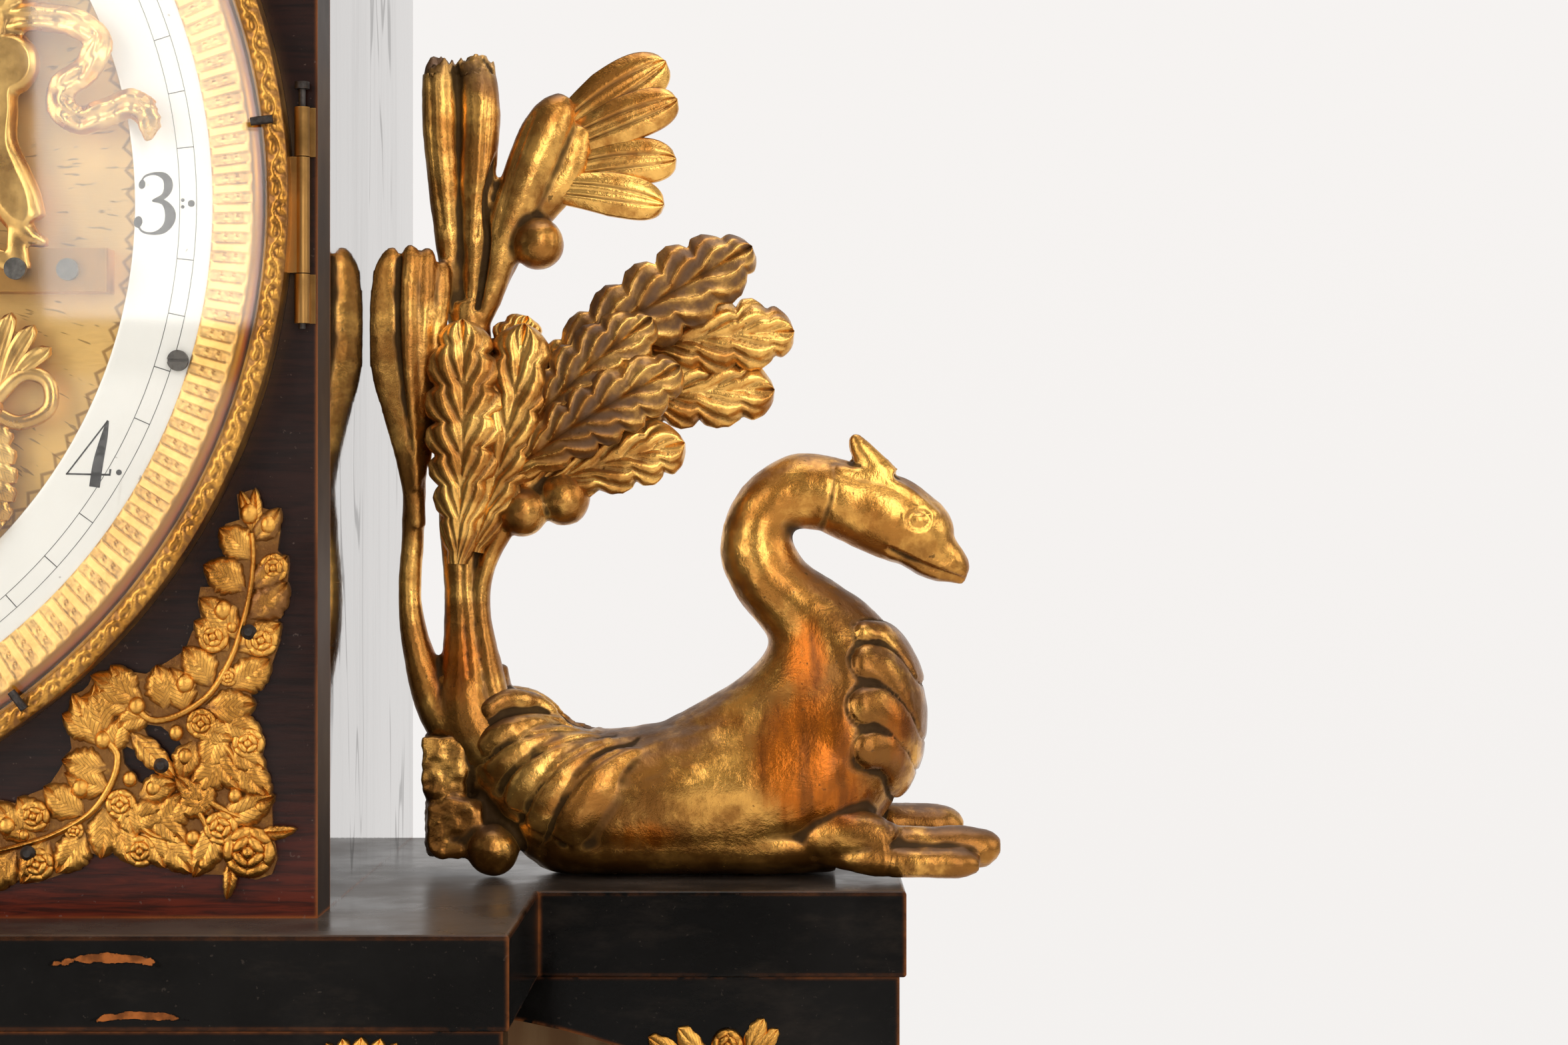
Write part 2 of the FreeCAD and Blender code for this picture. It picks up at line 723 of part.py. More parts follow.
node("door_knob", spun_y(door_half - 9, z_door, (0, y_rear), [
    (knob * 0.45, y_rear),
    (knob * 0.4, y_rear + 1.4),
    ((knob, y_rear + 3.4), (knob * 0.5, y_rear + 5.2)),
    (0, y_rear + 5.2),
]))

# Movement
third_reach = train_module * (centre_teeth + third_pinion) / 2
escape_reach = train_module * (third_teeth + escape_pinion) / 2
third_axis = (third_side, z_dial + math.sqrt(third_reach ** 2 - third_side ** 2))
escape_axis = (0.0, third_axis[1] + math.sqrt(escape_reach ** 2 - third_side ** 2))
pallet_axis = (0.0, escape_axis[1] + pallet_rise)
pin_turn = math.radians(128.8)
pin_axis = (strike_axis[0] + barrel_reach * math.cos(pin_turn),
            strike_axis[1] + barrel_reach * math.sin(pin_turn))
fly_turn = math.radians(78)
fly_axis = (pin_axis[0] + escape_reach * math.cos(fly_turn), pin_axis[1] + escape_reach * math.sin(fly_turn))
motion_reach = train_module * (cannon_teeth + minute_teeth) / 2
minute_turn = math.radians(45)
minute_axis = (motion_reach * math.cos(minute_turn), z_dial + motion_reach * math.sin(minute_turn))
hour_module = 2 * motion_reach / (minute_pinion + hour_teeth)
wheel_tooth = ((-1.35, 0.46), (0.0, 0.40), (0.85, 0.12))
leaf_tooth = ((-1.40, 0.30), (0.0, 0.28), (0.60, 0.12))


def toothed(axis, teeth, module, tooth, phase, y0, y1):
    # Each tooth is named by its heights in modules and its widths in pitches.
    pitch = 2 * math.pi / teeth
    points = []
    for index in range(teeth):
        middle = phase + index * pitch
        sides = [(-1, step) for step in tooth] + [(1, step) for step in reversed(tooth)]
        for side, (height, width) in sides:
            radius = module * teeth / 2 + height * module
            angle = middle + side * width * pitch / 2
            points.append(V(axis[0] + radius * math.cos(angle), y0, axis[1] + radius * math.sin(angle)))
    face = Part.Face(Part.makePolygon(points + [points[0]]))
    return face.extrude(V(0, y1 - y0, 0))


def toward(here, there):
    return math.atan2(there[1] - here[1], there[0] - here[0])


def meeting(here, there, teeth):
    # A gap of this pinion looks at the wheel it meets.
    return toward(here, there) + math.pi / teeth


def shaft(axis, radius, extra):
    core = rod_y(axis[0], axis[1], radius, y_gears + 0.3, y_back - 0.3)
    pivots = rod_y(axis[0], axis[1], pivot, y_plate, y_back + plate_thickness)
    return joined(core, [pivots] + extra)


y_great = y_gears + 33.5
drum_start = y_gears + 9.5
drum_end = drum_start + drum_length
y_centre_wheel = y_great + 5.0
y_third_wheel = y_great - 4.0
y_escape = y_great - 12.0
y_pin_wheel = y_great + 2.0
front_of_minute = ahead(6.8)
y_cannon = y_plate - 5.4

centre = shaft(hand_axis, arbor, [
    toothed(hand_axis, great_pinion, barrel_module, leaf_tooth, meeting(hand_axis, going_axis, great_pinion),
            y_great - 0.5, y_great + 2.5),
    toothed(hand_axis, centre_teeth, train_module, wheel_tooth, toward(hand_axis, third_axis),
            y_centre_wheel, y_centre_wheel + 1.5),
    rod_y(0, z_dial, arbor, front_of_minute, y_gears + 1),
    rod_y(0, z_dial, cannon_pipe, front_of_minute, y_plate - 0.6),
    toothed(hand_axis, cannon_teeth, train_module, leaf_tooth, meeting(hand_axis, minute_axis, cannon_teeth),
            y_cannon - 0.4, y_cannon + 1.8),
])
node("centre_wheel", centre)

minute_wheel = joined(toothed(minute_axis, minute_teeth, train_module, wheel_tooth,
                              toward(minute_axis, hand_axis), y_cannon, y_cannon + 1.4), [
    toothed(minute_axis, minute_pinion, hour_module, leaf_tooth,
            meeting(minute_axis, hand_axis, minute_pinion),
            y_cannon - 4.0, y_cannon + 0.2),
])
minute_stud = 1.0
stud_hole = rod_y(minute_axis[0], minute_axis[1], minute_stud + run_gap, y_cannon - 9, y_plate)
minute_wheel = minute_wheel.cut(stud_hole)
node("minute_wheel", minute_wheel)
hour_wheel = joined(toothed(hand_axis, hour_teeth, hour_module, wheel_tooth, toward(hand_axis, minute_axis),
                            y_cannon - 3.6, y_cannon - 2.2), [
    rod_y(0, z_dial, hour_pipe, ahead(5.2), y_cannon - 2.2),
])
node("hour_wheel", hour_wheel.cut(rod_y(0, z_dial, cannon_pipe + run_gap, ahead(9), y_plate)))


def make_hand(length, bore, boss, y0, y1, degrees):
    ring = length * 0.74
    hole = rod_y(0, z_dial, bore, y0 - 1, y1 + 1)
    eye = rod_y(0, z_dial + ring, 2.4, y0 - 1, y1 + 1)
    tip = prism_y((-1.6, z_dial + ring + 2.8), [(0, z_dial + length), (1.6, z_dial + ring + 2.8)], y0, y1)
    stem = prism_y((-1.5, z_dial), [(1.5, z_dial), (0.8, z_dial + ring), (-0.8, z_dial + ring)], y0, y1)
    hand = joined(rod_y(0, z_dial, boss, y0, y1), [stem, tip, rod_y(0, z_dial + ring, 3.8, y0, y1)])
    hand = hand.cut(hole).cut(eye)
    hand.rotate(V(0, 0, z_dial), V(0, 1, 0), degrees)
    return hand


hour_degrees = (hand_hour + hand_minute / 60) * 30
node("hour_hand", make_hand(hour_hand_length, hour_pipe, 4.4, ahead(5.2), ahead(4.6), hour_degrees))
node("minute_hand", make_hand(minute_hand_length, cannon_pipe, 3.4, ahead(6.8), ahead(6.2), hand_minute * 6))


def spiral(axis, inner, outer, turns, thickness, y0, y1):
    # A flat spring as a band between two spirals.
    steps = turns * 10
    sides = []
    for shift in (0.0, thickness):
        side = []
        for step in range(steps + 1):
            angle = 2 * math.pi * turns * step / steps
            radius = inner + (outer - inner) * step / steps + shift
            side.append(V(axis[0] + radius * math.cos(angle), y0, axis[1] + radius * math.sin(angle)))
        curve = Part.BSplineCurve()
        curve.interpolate(side)
        sides.append((curve.toShape(), side))
    ends = [Part.LineSegment(sides[0][1][place], sides[1][1][place]).toShape() for place in (0, -1)]
    wire = Part.Wire(Part.__sortEdges__([sides[0][0], sides[1][0]] + ends))
    return Part.Face(wire).extrude(V(0, y1 - y0, 0))


def make_barrel(axis, y_wheel, phase):
    x, z = axis
    drum = rod_y(x, z, drum_radius, drum_start, drum_end)
    drum = drum.cut(rod_y(x, z, drum_radius - drum_wall, drum_start + 1.5, drum_end - 1.5))
    wheel = toothed(axis, great_teeth, barrel_module, wheel_tooth, phase, y_wheel, y_wheel + 2)
    barrel = joined(drum, [wheel]).cut(rod_y(x, z, winding_arbor + run_gap, y_gears, y_back))
    spring = spiral(axis, winding_arbor + 1.0, drum_radius - drum_wall - 1.0, 7, 0.4,
                    drum_start + 2.5, drum_end - 2.5)
    return [barrel, spring]


node("going_barrel", make_barrel(going_axis, y_great, toward(going_axis, hand_axis)))
node("strike_barrel", make_barrel(strike_axis, drum_start - 2, toward(strike_axis, pin_axis)))


def make_winding_arbor(axis):
    x, z = axis
    half = winding_square / 2
    square = box(x - half, x + half, ahead(-1.0), y_plate - 9, z - half, z + half)
    saw = []
    for index in range(20):
        turn = 2 * math.pi * index / 20
        for radius, lead in ((8.0, 0.0), (6.8, 0.02)):
            saw.append(V(x + radius * math.cos(turn + lead), y_plate - 3, z + radius * math.sin(turn + lead)))
    ratchet = Part.Face(Part.makePolygon(saw + [saw[0]])).extrude(V(0, 2, 0))
    body = rod_y(x, z, winding_arbor, y_plate - 9, y_back - 0.3)
    return joined(body, [square, ratchet, rod_y(x, z, pivot, y_back - 1, y_back + plate_thickness)])


node("going_arbor", make_winding_arbor(going_axis))
node("strike_arbor", make_winding_arbor(strike_axis))

node("third_wheel", shaft(third_axis, arbor - 0.3, [
    toothed(third_axis, third_pinion, train_module, leaf_tooth, meeting(third_axis, hand_axis, third_pinion),
            y_centre_wheel - 0.5, y_centre_wheel + 2.0),
    toothed(third_axis, third_teeth, train_module, wheel_tooth, toward(third_axis, escape_axis),
            y_third_wheel, y_third_wheel + 1.5),
]))
hook_tooth = ((-3.4, 0.55), (0.0, 0.06))
node("escape_wheel", shaft(escape_axis, arbor - 0.4, [
    toothed(escape_axis, escape_pinion, train_module, leaf_tooth,
            meeting(escape_axis, third_axis, escape_pinion), y_third_wheel - 0.5, y_third_wheel + 2.0),
    toothed(escape_axis, escape_teeth, 2 * escape_radius / escape_teeth, hook_tooth, 0.0,
            y_escape, y_escape + 1.5),
]))

# Anchor with its crutch, back cock and pendulum share one axis.
y_bridge = y_cock + 11
y_crutch = y_cock + 4
crutch_drop = 33.0
pz = pallet_axis[1]
arms = [bar(0, pz, side * 9.4, pz - 6.6, 1.0, y_escape, y_escape + 1.5) for side in (1, -1)]
crutch = [box(-1.2, 1.2, y_crutch, y_crutch + 2, pz - crutch_drop - 1.5, pz),
          rod_y(0, pz - crutch_drop, 0.8, y_crutch, y_pendulum + 4),
          rod_y(0, pz, 3.0, y_crutch, y_crutch + 2)]
staff = [rod_y(0, pz, arbor, y_gears + 0.3, y_bridge - 0.3), rod_y(0, pz, pivot, y_plate, y_bridge + 2)]
anchor_boss = rod_y(0, pz, 3.0, y_escape, y_escape + 1.5)
node("pallet_anchor", joined(staff[0], [staff[1], anchor_boss] + arms + crutch))
stud_radius = 1.0
bridge = joined(box(-20, 20, y_bridge, y_bridge + 3, pz - 5, pz + 5), [
    rod_y(16, pz, 3.0, y_cock, y_bridge),
    rod_y(-16, pz, 3.0, y_cock, y_bridge),
    rod_y(0, pz, stud_radius, y_bridge + 2.5, y_pendulum + 4),
    rod_y(0, pz, 2.0, y_pendulum + 2.5, y_pendulum + 4),
])
node("back_cock", bridge.cut(rod_y(0, pz, pivot + run_gap, y_bridge - 1, y_bridge + 2.2)))
bob_z = pz - pendulum_length
eye = rod_y(0, pz, 3.0, y_pendulum - 1.5, y_pendulum + 1.5)
guide = box(-2.6, 2.6, y_pendulum - 1.5, y_pendulum + 1.5, pz - crutch_drop - 3.5, pz - crutch_drop + 3.5)
rod = joined(rod_z(0, y_pendulum, pendulum_rod, bob_z - bob_radius - 10, pz - 1.5), [eye, guide])
rod = rod.cut(rod_y(0, pz, stud_radius + run_gap, y_pendulum - 5, y_pendulum + 5))
rod = rod.cut(rod_y(0, pz - crutch_drop, 1.1, y_pendulum - 5, y_pendulum + 5))
half_bob = bob_thickness / 2
bob = spun_y(0, bob_z, (0, y_pendulum - half_bob), [
    ((bob_radius * 0.62, y_pendulum - half_bob * 0.66), (bob_radius, y_pendulum)),
    ((bob_radius * 0.62, y_pendulum + half_bob * 0.66), (0, y_pendulum + half_bob)),
]).cut(rod_z(0, y_pendulum, pendulum_rod, bob_z - 60, bob_z + 60))
nut = rod_z(0, y_pendulum, 3.2, bob_z - bob_radius - 7, bob_z - bob_radius - 3)
nut = nut.cut(rod_z(0, y_pendulum, pendulum_rod, bob_z - 60, bob_z))
node("pendulum", [rod, bob, nut])

# Striking side
node("pin_wheel", shaft(pin_axis, arbor, [
    toothed(pin_axis, great_pinion, barrel_module, leaf_tooth, meeting(pin_axis, strike_axis, great_pinion),
            drum_start - 2.5, drum_start + 0.5),
    toothed(pin_axis, third_teeth, train_module, wheel_tooth, toward(pin_axis, fly_axis),
            y_pin_wheel, y_pin_wheel + 1.5),
] + [rod_y(pin_axis[0] + 12 * math.cos(k * math.pi / 4), pin_axis[1] + 12 * math.sin(k * math.pi / 4), 0.8,
           y_pin_wheel + 1.0, y_pin_wheel + 4.0) for k in range(8)]))
fly_blade = box(fly_axis[0] - 8, fly_axis[0] + 8, y_great - 18, y_great - 4,
                fly_axis[1] - 0.4, fly_axis[1] + 0.4)
node("fly", shaft(fly_axis, arbor - 0.4, [
    toothed(fly_axis, escape_pinion, train_module, leaf_tooth, meeting(fly_axis, pin_axis, escape_pinion),
            y_pin_wheel - 0.5, y_pin_wheel + 2.0),
    fly_blade,
]))
y_bell = y_cock + 6
z_bell = z_dial + bell_rise
bell = spun_y(bell_side, z_bell, (bell_radius, y_bell), [
    ((bell_radius * 0.74, y_bell + 12), (2.0, y_bell + 18)),
    (2.0, y_bell + 16.4),
    ((bell_radius * 0.68, y_bell + 10.8), (bell_radius - 2, y_bell)),
])
post_nut = rod_y(bell_side, z_bell, 3.6, y_bell + 18, y_bell + 20)
post = joined(rod_y(bell_side, z_bell, 2.0, y_cock, y_bell + 20), [post_nut])
node("bell", [bell, post])
hammer_axis = (-16.0, z_bell - bell_radius - 8)
hammer_bore = 1.2
head_z = z_bell - bell_radius - 4.2
hammer = joined(rod_y(hammer_axis[0], hammer_axis[1], 3.2, y_cock + 2, y_cock + 6), [
    bar(hammer_axis[0], hammer_axis[1], bell_side, head_z, 1.3, y_cock + 3, y_cock + 5),
    rod_y(bell_side, head_z, 3.6, y_cock + 2, y_cock + 10),
])
node("hammer", hammer.cut(rod_y(hammer_axis[0], hammer_axis[1], hammer_bore + run_gap, y_cock, y_cock + 12)))

# Plates carry every pivot of the two trains.
pivots = [third_axis, escape_axis, pin_axis, fly_axis]
low_corner = (plate_half - 5, -plate_below + 6)
high_corner = (plate_half - 5, plate_above - 6)
corners = [(side * x, z_dial + z) for x, z in (low_corner, high_corner) for side in (1, -1)]


def make_plate(y0, holes):
    plate = box(-plate_half, plate_half, y0, y0 + plate_thickness, z_dial - plate_below, z_dial + plate_above)
    for x, z, radius in holes:
        plate = plate.cut(rod_y(x, z, radius, y0 - 1, y0 + plate_thickness + 1))
    return plate


front_holes = [(x, z, pivot + run_gap) for x, z in pivots + [pallet_axis]]
front_holes += [(0, z_dial, arbor + run_gap)]
front_holes += [(x, z, winding_arbor + run_gap) for x, z in (going_axis, strike_axis)]
back_holes = [(x, z, pivot + run_gap) for x, z in pivots + [hand_axis, going_axis, strike_axis]]
back_holes += [(0, pallet_axis[1], 4.5)]
stud = joined(rod_y(minute_axis[0], minute_axis[1], minute_stud, y_cannon - 4.4, y_plate), [
    rod_y(minute_axis[0], minute_axis[1], minute_stud + 1.0, y_plate - 3.6, y_plate)])
node("front_plate", joined(make_plate(y_plate, front_holes), [stud]))
hammer_stud = rod_y(hammer_axis[0], hammer_axis[1], hammer_bore, y_cock, y_cock + 7)
node("back_plate", joined(make_plate(y_back, back_holes), [hammer_stud]))
node("plate_pillars", [rod_y(x, z, pillar_radius, y_gears, y_back) for x, z in corners])
feet = [rod_y(side * 44, z_dial + z, 2.5, y_dial_back, y_plate) for side in (1, -1) for z in (-38, 40)]
node("dial_plate", joined(dial_plate, feet))


# Carved beast: each station gives the middle line, half height and half width of the trunk, neck and head.
spine = [
    (14.2, 35.0, 5.6, 5.0), (14.6, 27.0, 7.0, 6.5), (18.5, 18.0, 9.4, 9.0), (27.0, 12.0, 11.6, 11.5),
    (40.0, 10.6, 11.4, 12.5), (55.0, 12.2, 13.0, 13.0), (69.0, 16.5, 14.6, 13.0), (76.6, 27.5, 12.2, 11.0),
    (71.5, 38.8, 8.4, 8.0), (65.0, 46.0, 6.6, 6.2), (62.5, 53.5, 6.2, 5.8), (65.6, 60.0, 6.1, 5.7),
    (71.0, 61.6, 6.0, 5.8), (77.0, 60.0, 6.3, 6.0), (83.5, 56.8, 6.2, 5.9), (89.5, 53.2, 5.2, 4.8),
    (93.6, 50.2, 3.4, 3.0), (96.4, 47.4, 1.0, 0.9),
]
toe_reach = 101.2
near_toe = 3.9
far_toe = 4.7
toe_side = 8.0
dowel_places = (38.0, 60.0)


def beast_at(out, side, up):
    return V(case_half + out, y_beast + side, z_case + up)


def section(index):
    out, up, tall, wide = spine[index]
    before = spine[max(index - 1, 0)]
    after = spine[min(index + 1, len(spine) - 1)]
    run, rise = after[0] - before[0], after[1] - before[1]
    length = math.hypot(run, rise)
    points = []
    for step in range(8):
        angle = step * math.pi / 4
        lift = tall * math.cos(angle)
        points.append(beast_at(out - lift * rise / length, wide * math.sin(angle), up + lift * run / length))
    curve = Part.BSplineCurve()
    curve.interpolate(points, PeriodicFlag=True)
    return Part.Wire(curve.toShape())


def tapered(start, end, r0, r1):
    along = end - start
    rounded = [Part.makeSphere(r0, start), Part.makeSphere(r1, end)]
    if abs(r0 - r1) < 0.01:
        return rounded + [Part.makeCylinder(r0, along.Length, start, along)]
    return rounded + [Part.makeCone(r0, r1, along.Length, start, along)]


def make_beast():
    trunk = Part.makeLoft([section(index) for index in range(len(spine))], True, False)
    extra = []
    for side, toe, back in ((-toe_side, near_toe, 0.0), (toe_side, far_toe, 6.0)):
        tip = toe_reach - toe - back
        extra += tapered(beast_at(84.0, side, toe), beast_at(tip, side, toe - 0.2), toe, toe)
        extra += tapered(beast_at(66.0, side * 0.9, 6.5), beast_at(84.0, side, toe + 0.4), 5.5, toe + 0.3)
    extra.append(Part.makeSphere(4.2, beast_at(20.2, -7.0, 4.4)))
    corner = beast_at(8.6, -3.0, 3.6)
    extra.append(Part.makeBox(8.4, 10.0, 20.0, corner))
    beast = trunk.fuse(extra)
    below = box(case_half - 20, case_half + 140, y_beast - 60, y_beast + 60, z_slab - 40, z_case)
    return beast.cut(below)


# Leaves name base, tip, half width, depth and lobes along one edge.
leaf_thick = 5.0
leaves = [
    (16.0, 86.0, 14.2, 132.2, 5.4, 2.0, 0), (27.4, 99.0, 29.4, 125.0, 6.6, 0.0, 0),
    (30.5, 117.0, 48.8, 131.0, 5.6, -2.0, 2), (32.0, 115.0, 49.4, 110.0, 5.4, -2.6, 2),
    (9.4, 62.0, 8.2, 101.0, 6.6, -2.0, 0), (15.0, 57.0, 18.6, 90.0, 8.6, -3.6, 4),
    (24.0, 74.0, 60.8, 102.5, 6.8, -3.0, 5), (38.0, 80.0, 68.2, 90.6, 4.8, 0.6, 4),
    (34.0, 77.0, 65.0, 76.5, 4.6, -2.4, 4), (22.0, 71.0, 50.6, 65.7, 4.4, -3.4, 3),
    (24.0, 72.0, 48.8, 81.0, 4.4, 2.4, 3),
]
twigs = [
    (6.6, 30.0, 6.6, 64.0, 1.9, 2.2), (14.2, 30.0, 14.2, 62.0, 4.0, 3.4), (18.6, 30.0, 18.0, 56.0, 2.2, 1.9),
    (14.2, 60.0, 17.0, 76.0, 3.2, 2.6), (17.0, 76.0, 20.0, 90.0, 2.6, 2.4),
    (20.0, 90.0, 27.0, 101.0, 2.4, 2.2),
    (27.0, 101.0, 30.0, 116.0, 2.2, 2.0), (17.0, 75.0, 34.0, 78.0, 2.6, 2.2),
    (6.6, 62.0, 14.0, 70.0, 2.0, 2.2),
    (15.0, 56.0, 30.4, 60.0, 1.6, 1.5),
]
berries = [(26.9, 101.2, 3.7, -3.6), (24.0, 58.0, 3.6, -2.4), (30.4, 60.0, 3.9, -2.0)]


def make_leaf(u0, v0, u1, v1, half, depth, lobes):
    run, rise = u1 - u0, v1 - v0
    length = math.hypot(run, rise)

    def place(share, across):
        return beast_at(u0 + run * share - rise / length * across, depth - leaf_thick / 2,
                        v0 + rise * share + run / length * across)

    def width(share):
        return half * math.sin(math.pi * min(1.0, 0.12 + share * 0.88)) ** 0.7

    edges = []
    for side in (1, -1):
        if lobes == 0:
            arc = Part.Arc(place(0, side * 0.8), place(0.5, side * half), place(1, side * 0.8))
            edges.append(arc.toShape())
            continue
        cuts = [index / lobes for index in range(lobes + 1)]
        for low, high in zip(cuts, cuts[1:]):
            start = place(low, side * max(0.8, 0.72 * width(low)))
            peak = place(low * 0.4 + high * 0.6, side * 1.0 * width((low + high) / 2))
            end = place(high, side * max(0.8, 0.72 * width(high)))
            edges.append(Part.Arc(start, peak, end).toShape())
    ends = []
    for share in (0, 1):
        level = 0.8 if lobes == 0 else max(0.8, 0.72 * width(share))
        ends.append(Part.LineSegment(place(share, level), place(share, -level)).toShape())
    wire = Part.Wire(Part.__sortEdges__(edges + ends))
    return Part.Face(wire).extrude(V(0, leaf_thick, 0))


def make_foliage(body):
    shapes = []
    for u0, v0, u1, v1, r0, r1 in twigs:
        shapes += tapered(beast_at(u0, 0, v0), beast_at(u1, 0, v1), r0, r1)
    shapes += [make_leaf(*leaf) for leaf in leaves]
    shapes += [Part.makeSphere(radius, beast_at(out, depth, up)) for out, up, radius, depth in berries]
    growth = shapes[0]
    for shape in shapes[1:]:
        growth = growth.fuse(shape)
    return growth.cut(body)


beast = make_beast()
foliage = make_foliage(beast)
dowels = [rod_z(case_half + place, y_beast, beast_dowel,
                z_case - beast_dowel_depth, z_case + beast_dowel_depth)
          for place in dowel_places]
beast = beast.cut(dowels)
node("beast_body_right", beast)
node("beast_body_left", mirrored_x(beast))
node("beast_foliage_right", foliage)
node("beast_foliage_left", mirrored_x(foliage))
all_dowels = dowels + [mirrored_x(dowel) for dowel in dowels]
node("beast_dowels", all_dowels)
node("entablature_slab", make_slab().cut(all_dowels))

for name, shape in nodes.items():
    shape.exportStep("parts/" + name + ".step")
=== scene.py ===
import math
from contextlib import contextmanager
from functools import partialmethod

import bmesh
import bpy
import numpy as np
from mathutils import Matrix, Vector, noise


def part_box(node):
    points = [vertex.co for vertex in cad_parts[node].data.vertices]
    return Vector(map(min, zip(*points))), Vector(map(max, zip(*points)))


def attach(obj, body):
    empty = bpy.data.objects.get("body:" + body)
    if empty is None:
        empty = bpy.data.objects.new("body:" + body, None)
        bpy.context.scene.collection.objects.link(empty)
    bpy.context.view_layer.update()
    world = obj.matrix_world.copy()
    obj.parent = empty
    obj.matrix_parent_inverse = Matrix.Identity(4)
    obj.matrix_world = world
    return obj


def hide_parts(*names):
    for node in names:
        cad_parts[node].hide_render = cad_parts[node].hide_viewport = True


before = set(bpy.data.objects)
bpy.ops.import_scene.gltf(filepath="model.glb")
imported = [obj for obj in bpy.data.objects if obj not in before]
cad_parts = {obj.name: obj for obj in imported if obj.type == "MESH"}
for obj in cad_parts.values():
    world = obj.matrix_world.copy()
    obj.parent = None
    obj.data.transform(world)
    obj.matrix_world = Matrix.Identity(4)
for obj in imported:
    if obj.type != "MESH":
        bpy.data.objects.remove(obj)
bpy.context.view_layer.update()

bl_info = {
    "name": "Portal table clock",
    "version": (1, 0, 0),
    "blender": (4, 5, 0),
    "location": "View3D > Sidebar > Portal Clock",
    "description": "Builds the looks of a portal clock with carved gilt beasts on its wings",
    "category": "Object",
}

MM = 0.001
# Angles in degrees past which an edge stays sharp: most pieces, mounts, sight ring, leaves, and none
SHARP, MOUNT_SHARP, SIGHT_SHARP, LEAF_SHARP, SMOOTH = 40.0, 50.0, 60.0, 70.0, 180.0
# Fractal noise of hand carving, split blocks and torn stems: scale, fall-off, step between octaves, octaves
RIPPLES, CHIPS, TEARS = (0.22, 1.0, 2.0, 3), (0.5, 0.8, 2.2, 3), (1.0, 0.8, 2.2, 3)


def length(label, note, millimetres):
    return bpy.props.FloatProperty(name=label, description=note, default=millimetres * MM, unit="LENGTH")


def colour(label, note, value):
    return bpy.props.FloatVectorProperty(name=label, description=note, default=value, size=3,
                                         subtype="COLOR", min=0.0, max=1.0)


class DialSizes(bpy.types.PropertyGroup):
    enamel_inner: length("Enamel inner radius", "Where the enamel ring meets the gilt middle", 68.8)
    enamel_seen: length("Enamel seen radius", "Where the sight ring covers the enamel", 80.0)
    track_inner: length("Track inner radius", "Inner line of the minute track", 75.3)
    track_outer: length("Track outer radius", "Outer line of the minute track", 77.7)
    numeral_radius: length("Numeral radius", "Middle line of the numerals", 71.6)
    numeral_height: length("Numeral height", "Height of the painted numerals", 8.8)
    sight_crest: length("Sight ring crest", "Where the stamped band of the sight ring ends", 86.1)
    sight_outer: length("Sight ring outer radius", "Outer radius of the plain band", 87.8)


class BezelSizes(bpy.types.PropertyGroup):
    inner: length("Inner radius", "Inner radius of the bezel's ornament", 88.8)
    outer: length("Outer radius", "Outer radius of the bezel", 91.6)
    lip: length("Lip radius", "Radius of the lip under the glass", 88.1)


class BeastSizes(bpy.types.PropertyGroup):
    voxel: length("Carving grain", "Size of the smallest carved form", 0.5)
    ripple: length("Hand carving", "Height of the uneven surface of hand work", 0.16)
    leaf_thickness: length("Leaf thickness", "Thickness of a carved leaf", 2.0)


class ClockColours(bpy.types.PropertyGroup):
    gold: colour("Gold leaf", "Burnished gold leaf on the carving", (0.74, 0.385, 0.085))
    toner: colour("Toned varnish", "Brown varnish over the duller gold", (0.22, 0.088, 0.016))
    dust: colour("Dust", "Dry dust on leaves and upper faces", (0.105, 0.054, 0.027))
    bole: colour("Bole", "Red clay ground showing through worn gold", (0.50, 0.125, 0.004))
    # This colour also stands for painted shade: it darkens the carving's hollows, partings and veins as
    # well as grime.
    grime: colour("Grime", "Dirt lying in the hollows", (0.035, 0.02, 0.009))
    mount: colour("Gilt mounts", "Fire-gilt brass of the mounts", (0.70, 0.355, 0.074))
    ring: colour("Gilt rings", "Paler gilding of the dial's rings", (0.88, 0.56, 0.19))
    black: colour("Ebonised wood", "Black polish on pearwood", (0.0026, 0.0022, 0.0019))
    worn: colour("Worn wood", "Wood under the black polish", (0.30, 0.088, 0.018))
    mahogany: colour("Dark mahogany", "Front board of the case", (0.019, 0.0055, 0.0036))
    pine: colour("Bare pine", "Unpolished back boards", (0.42, 0.24, 0.10))
    enamel: colour("Enamel", "White enamel of the hour ring", (0.90, 0.885, 0.85))
    ink: colour("Dial ink", "Fired black of the numerals", (0.022, 0.022, 0.024))
    backdrop: colour("Backdrop", "White paper behind the clock", (0.90, 0.885, 0.87))


# Places taken from the frame, in millimetres
def mm_box(name):
    low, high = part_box(name)
    return low / MM, high / MM


ring_low, ring_high = mm_box("chapter_ring")
beast_low, beast_high = mm_box("beast_foliage_right")
dial_z = (ring_low.z + ring_high.z) / 2
face_y = ring_low.y
case_x = mm_box("case_side_right")[1].x
slab_z = mm_box("entablature_slab")[1].z
beast_y = (beast_low.y + beast_high.y) / 2


def sizes(group):
    return getattr(bpy.context.scene, group)


def mm(value):
    return value / MM


def shade(base, *shares):
    """Colour with its parts times one share, or a share each, and none past 1."""
    shares = shares * 3 if len(shares) == 1 else shares
    return tuple(min(1.0, part * share) for part, share in zip(base, shares))


def hump(offset, width):
    """Smooth rise to 1 where the offset is nothing."""
    return np.exp(-(offset / width) ** 2)


def soft_spot(u, v, middle, height, wide, tall, amount):
    """Amount at a place in the side view, fading over its half width and half height."""
    return amount * hump(u - middle, wide) * hump(v - height, tall)


def fractal(spots, scale, *kind):
    """Fractal noise at every vertex."""
    return np.array([noise.fractal(Vector(spot) * scale, *kind) for spot in spots])


def verts_of(geom):
    return [part for part in geom if isinstance(part, bmesh.types.BMVert)]


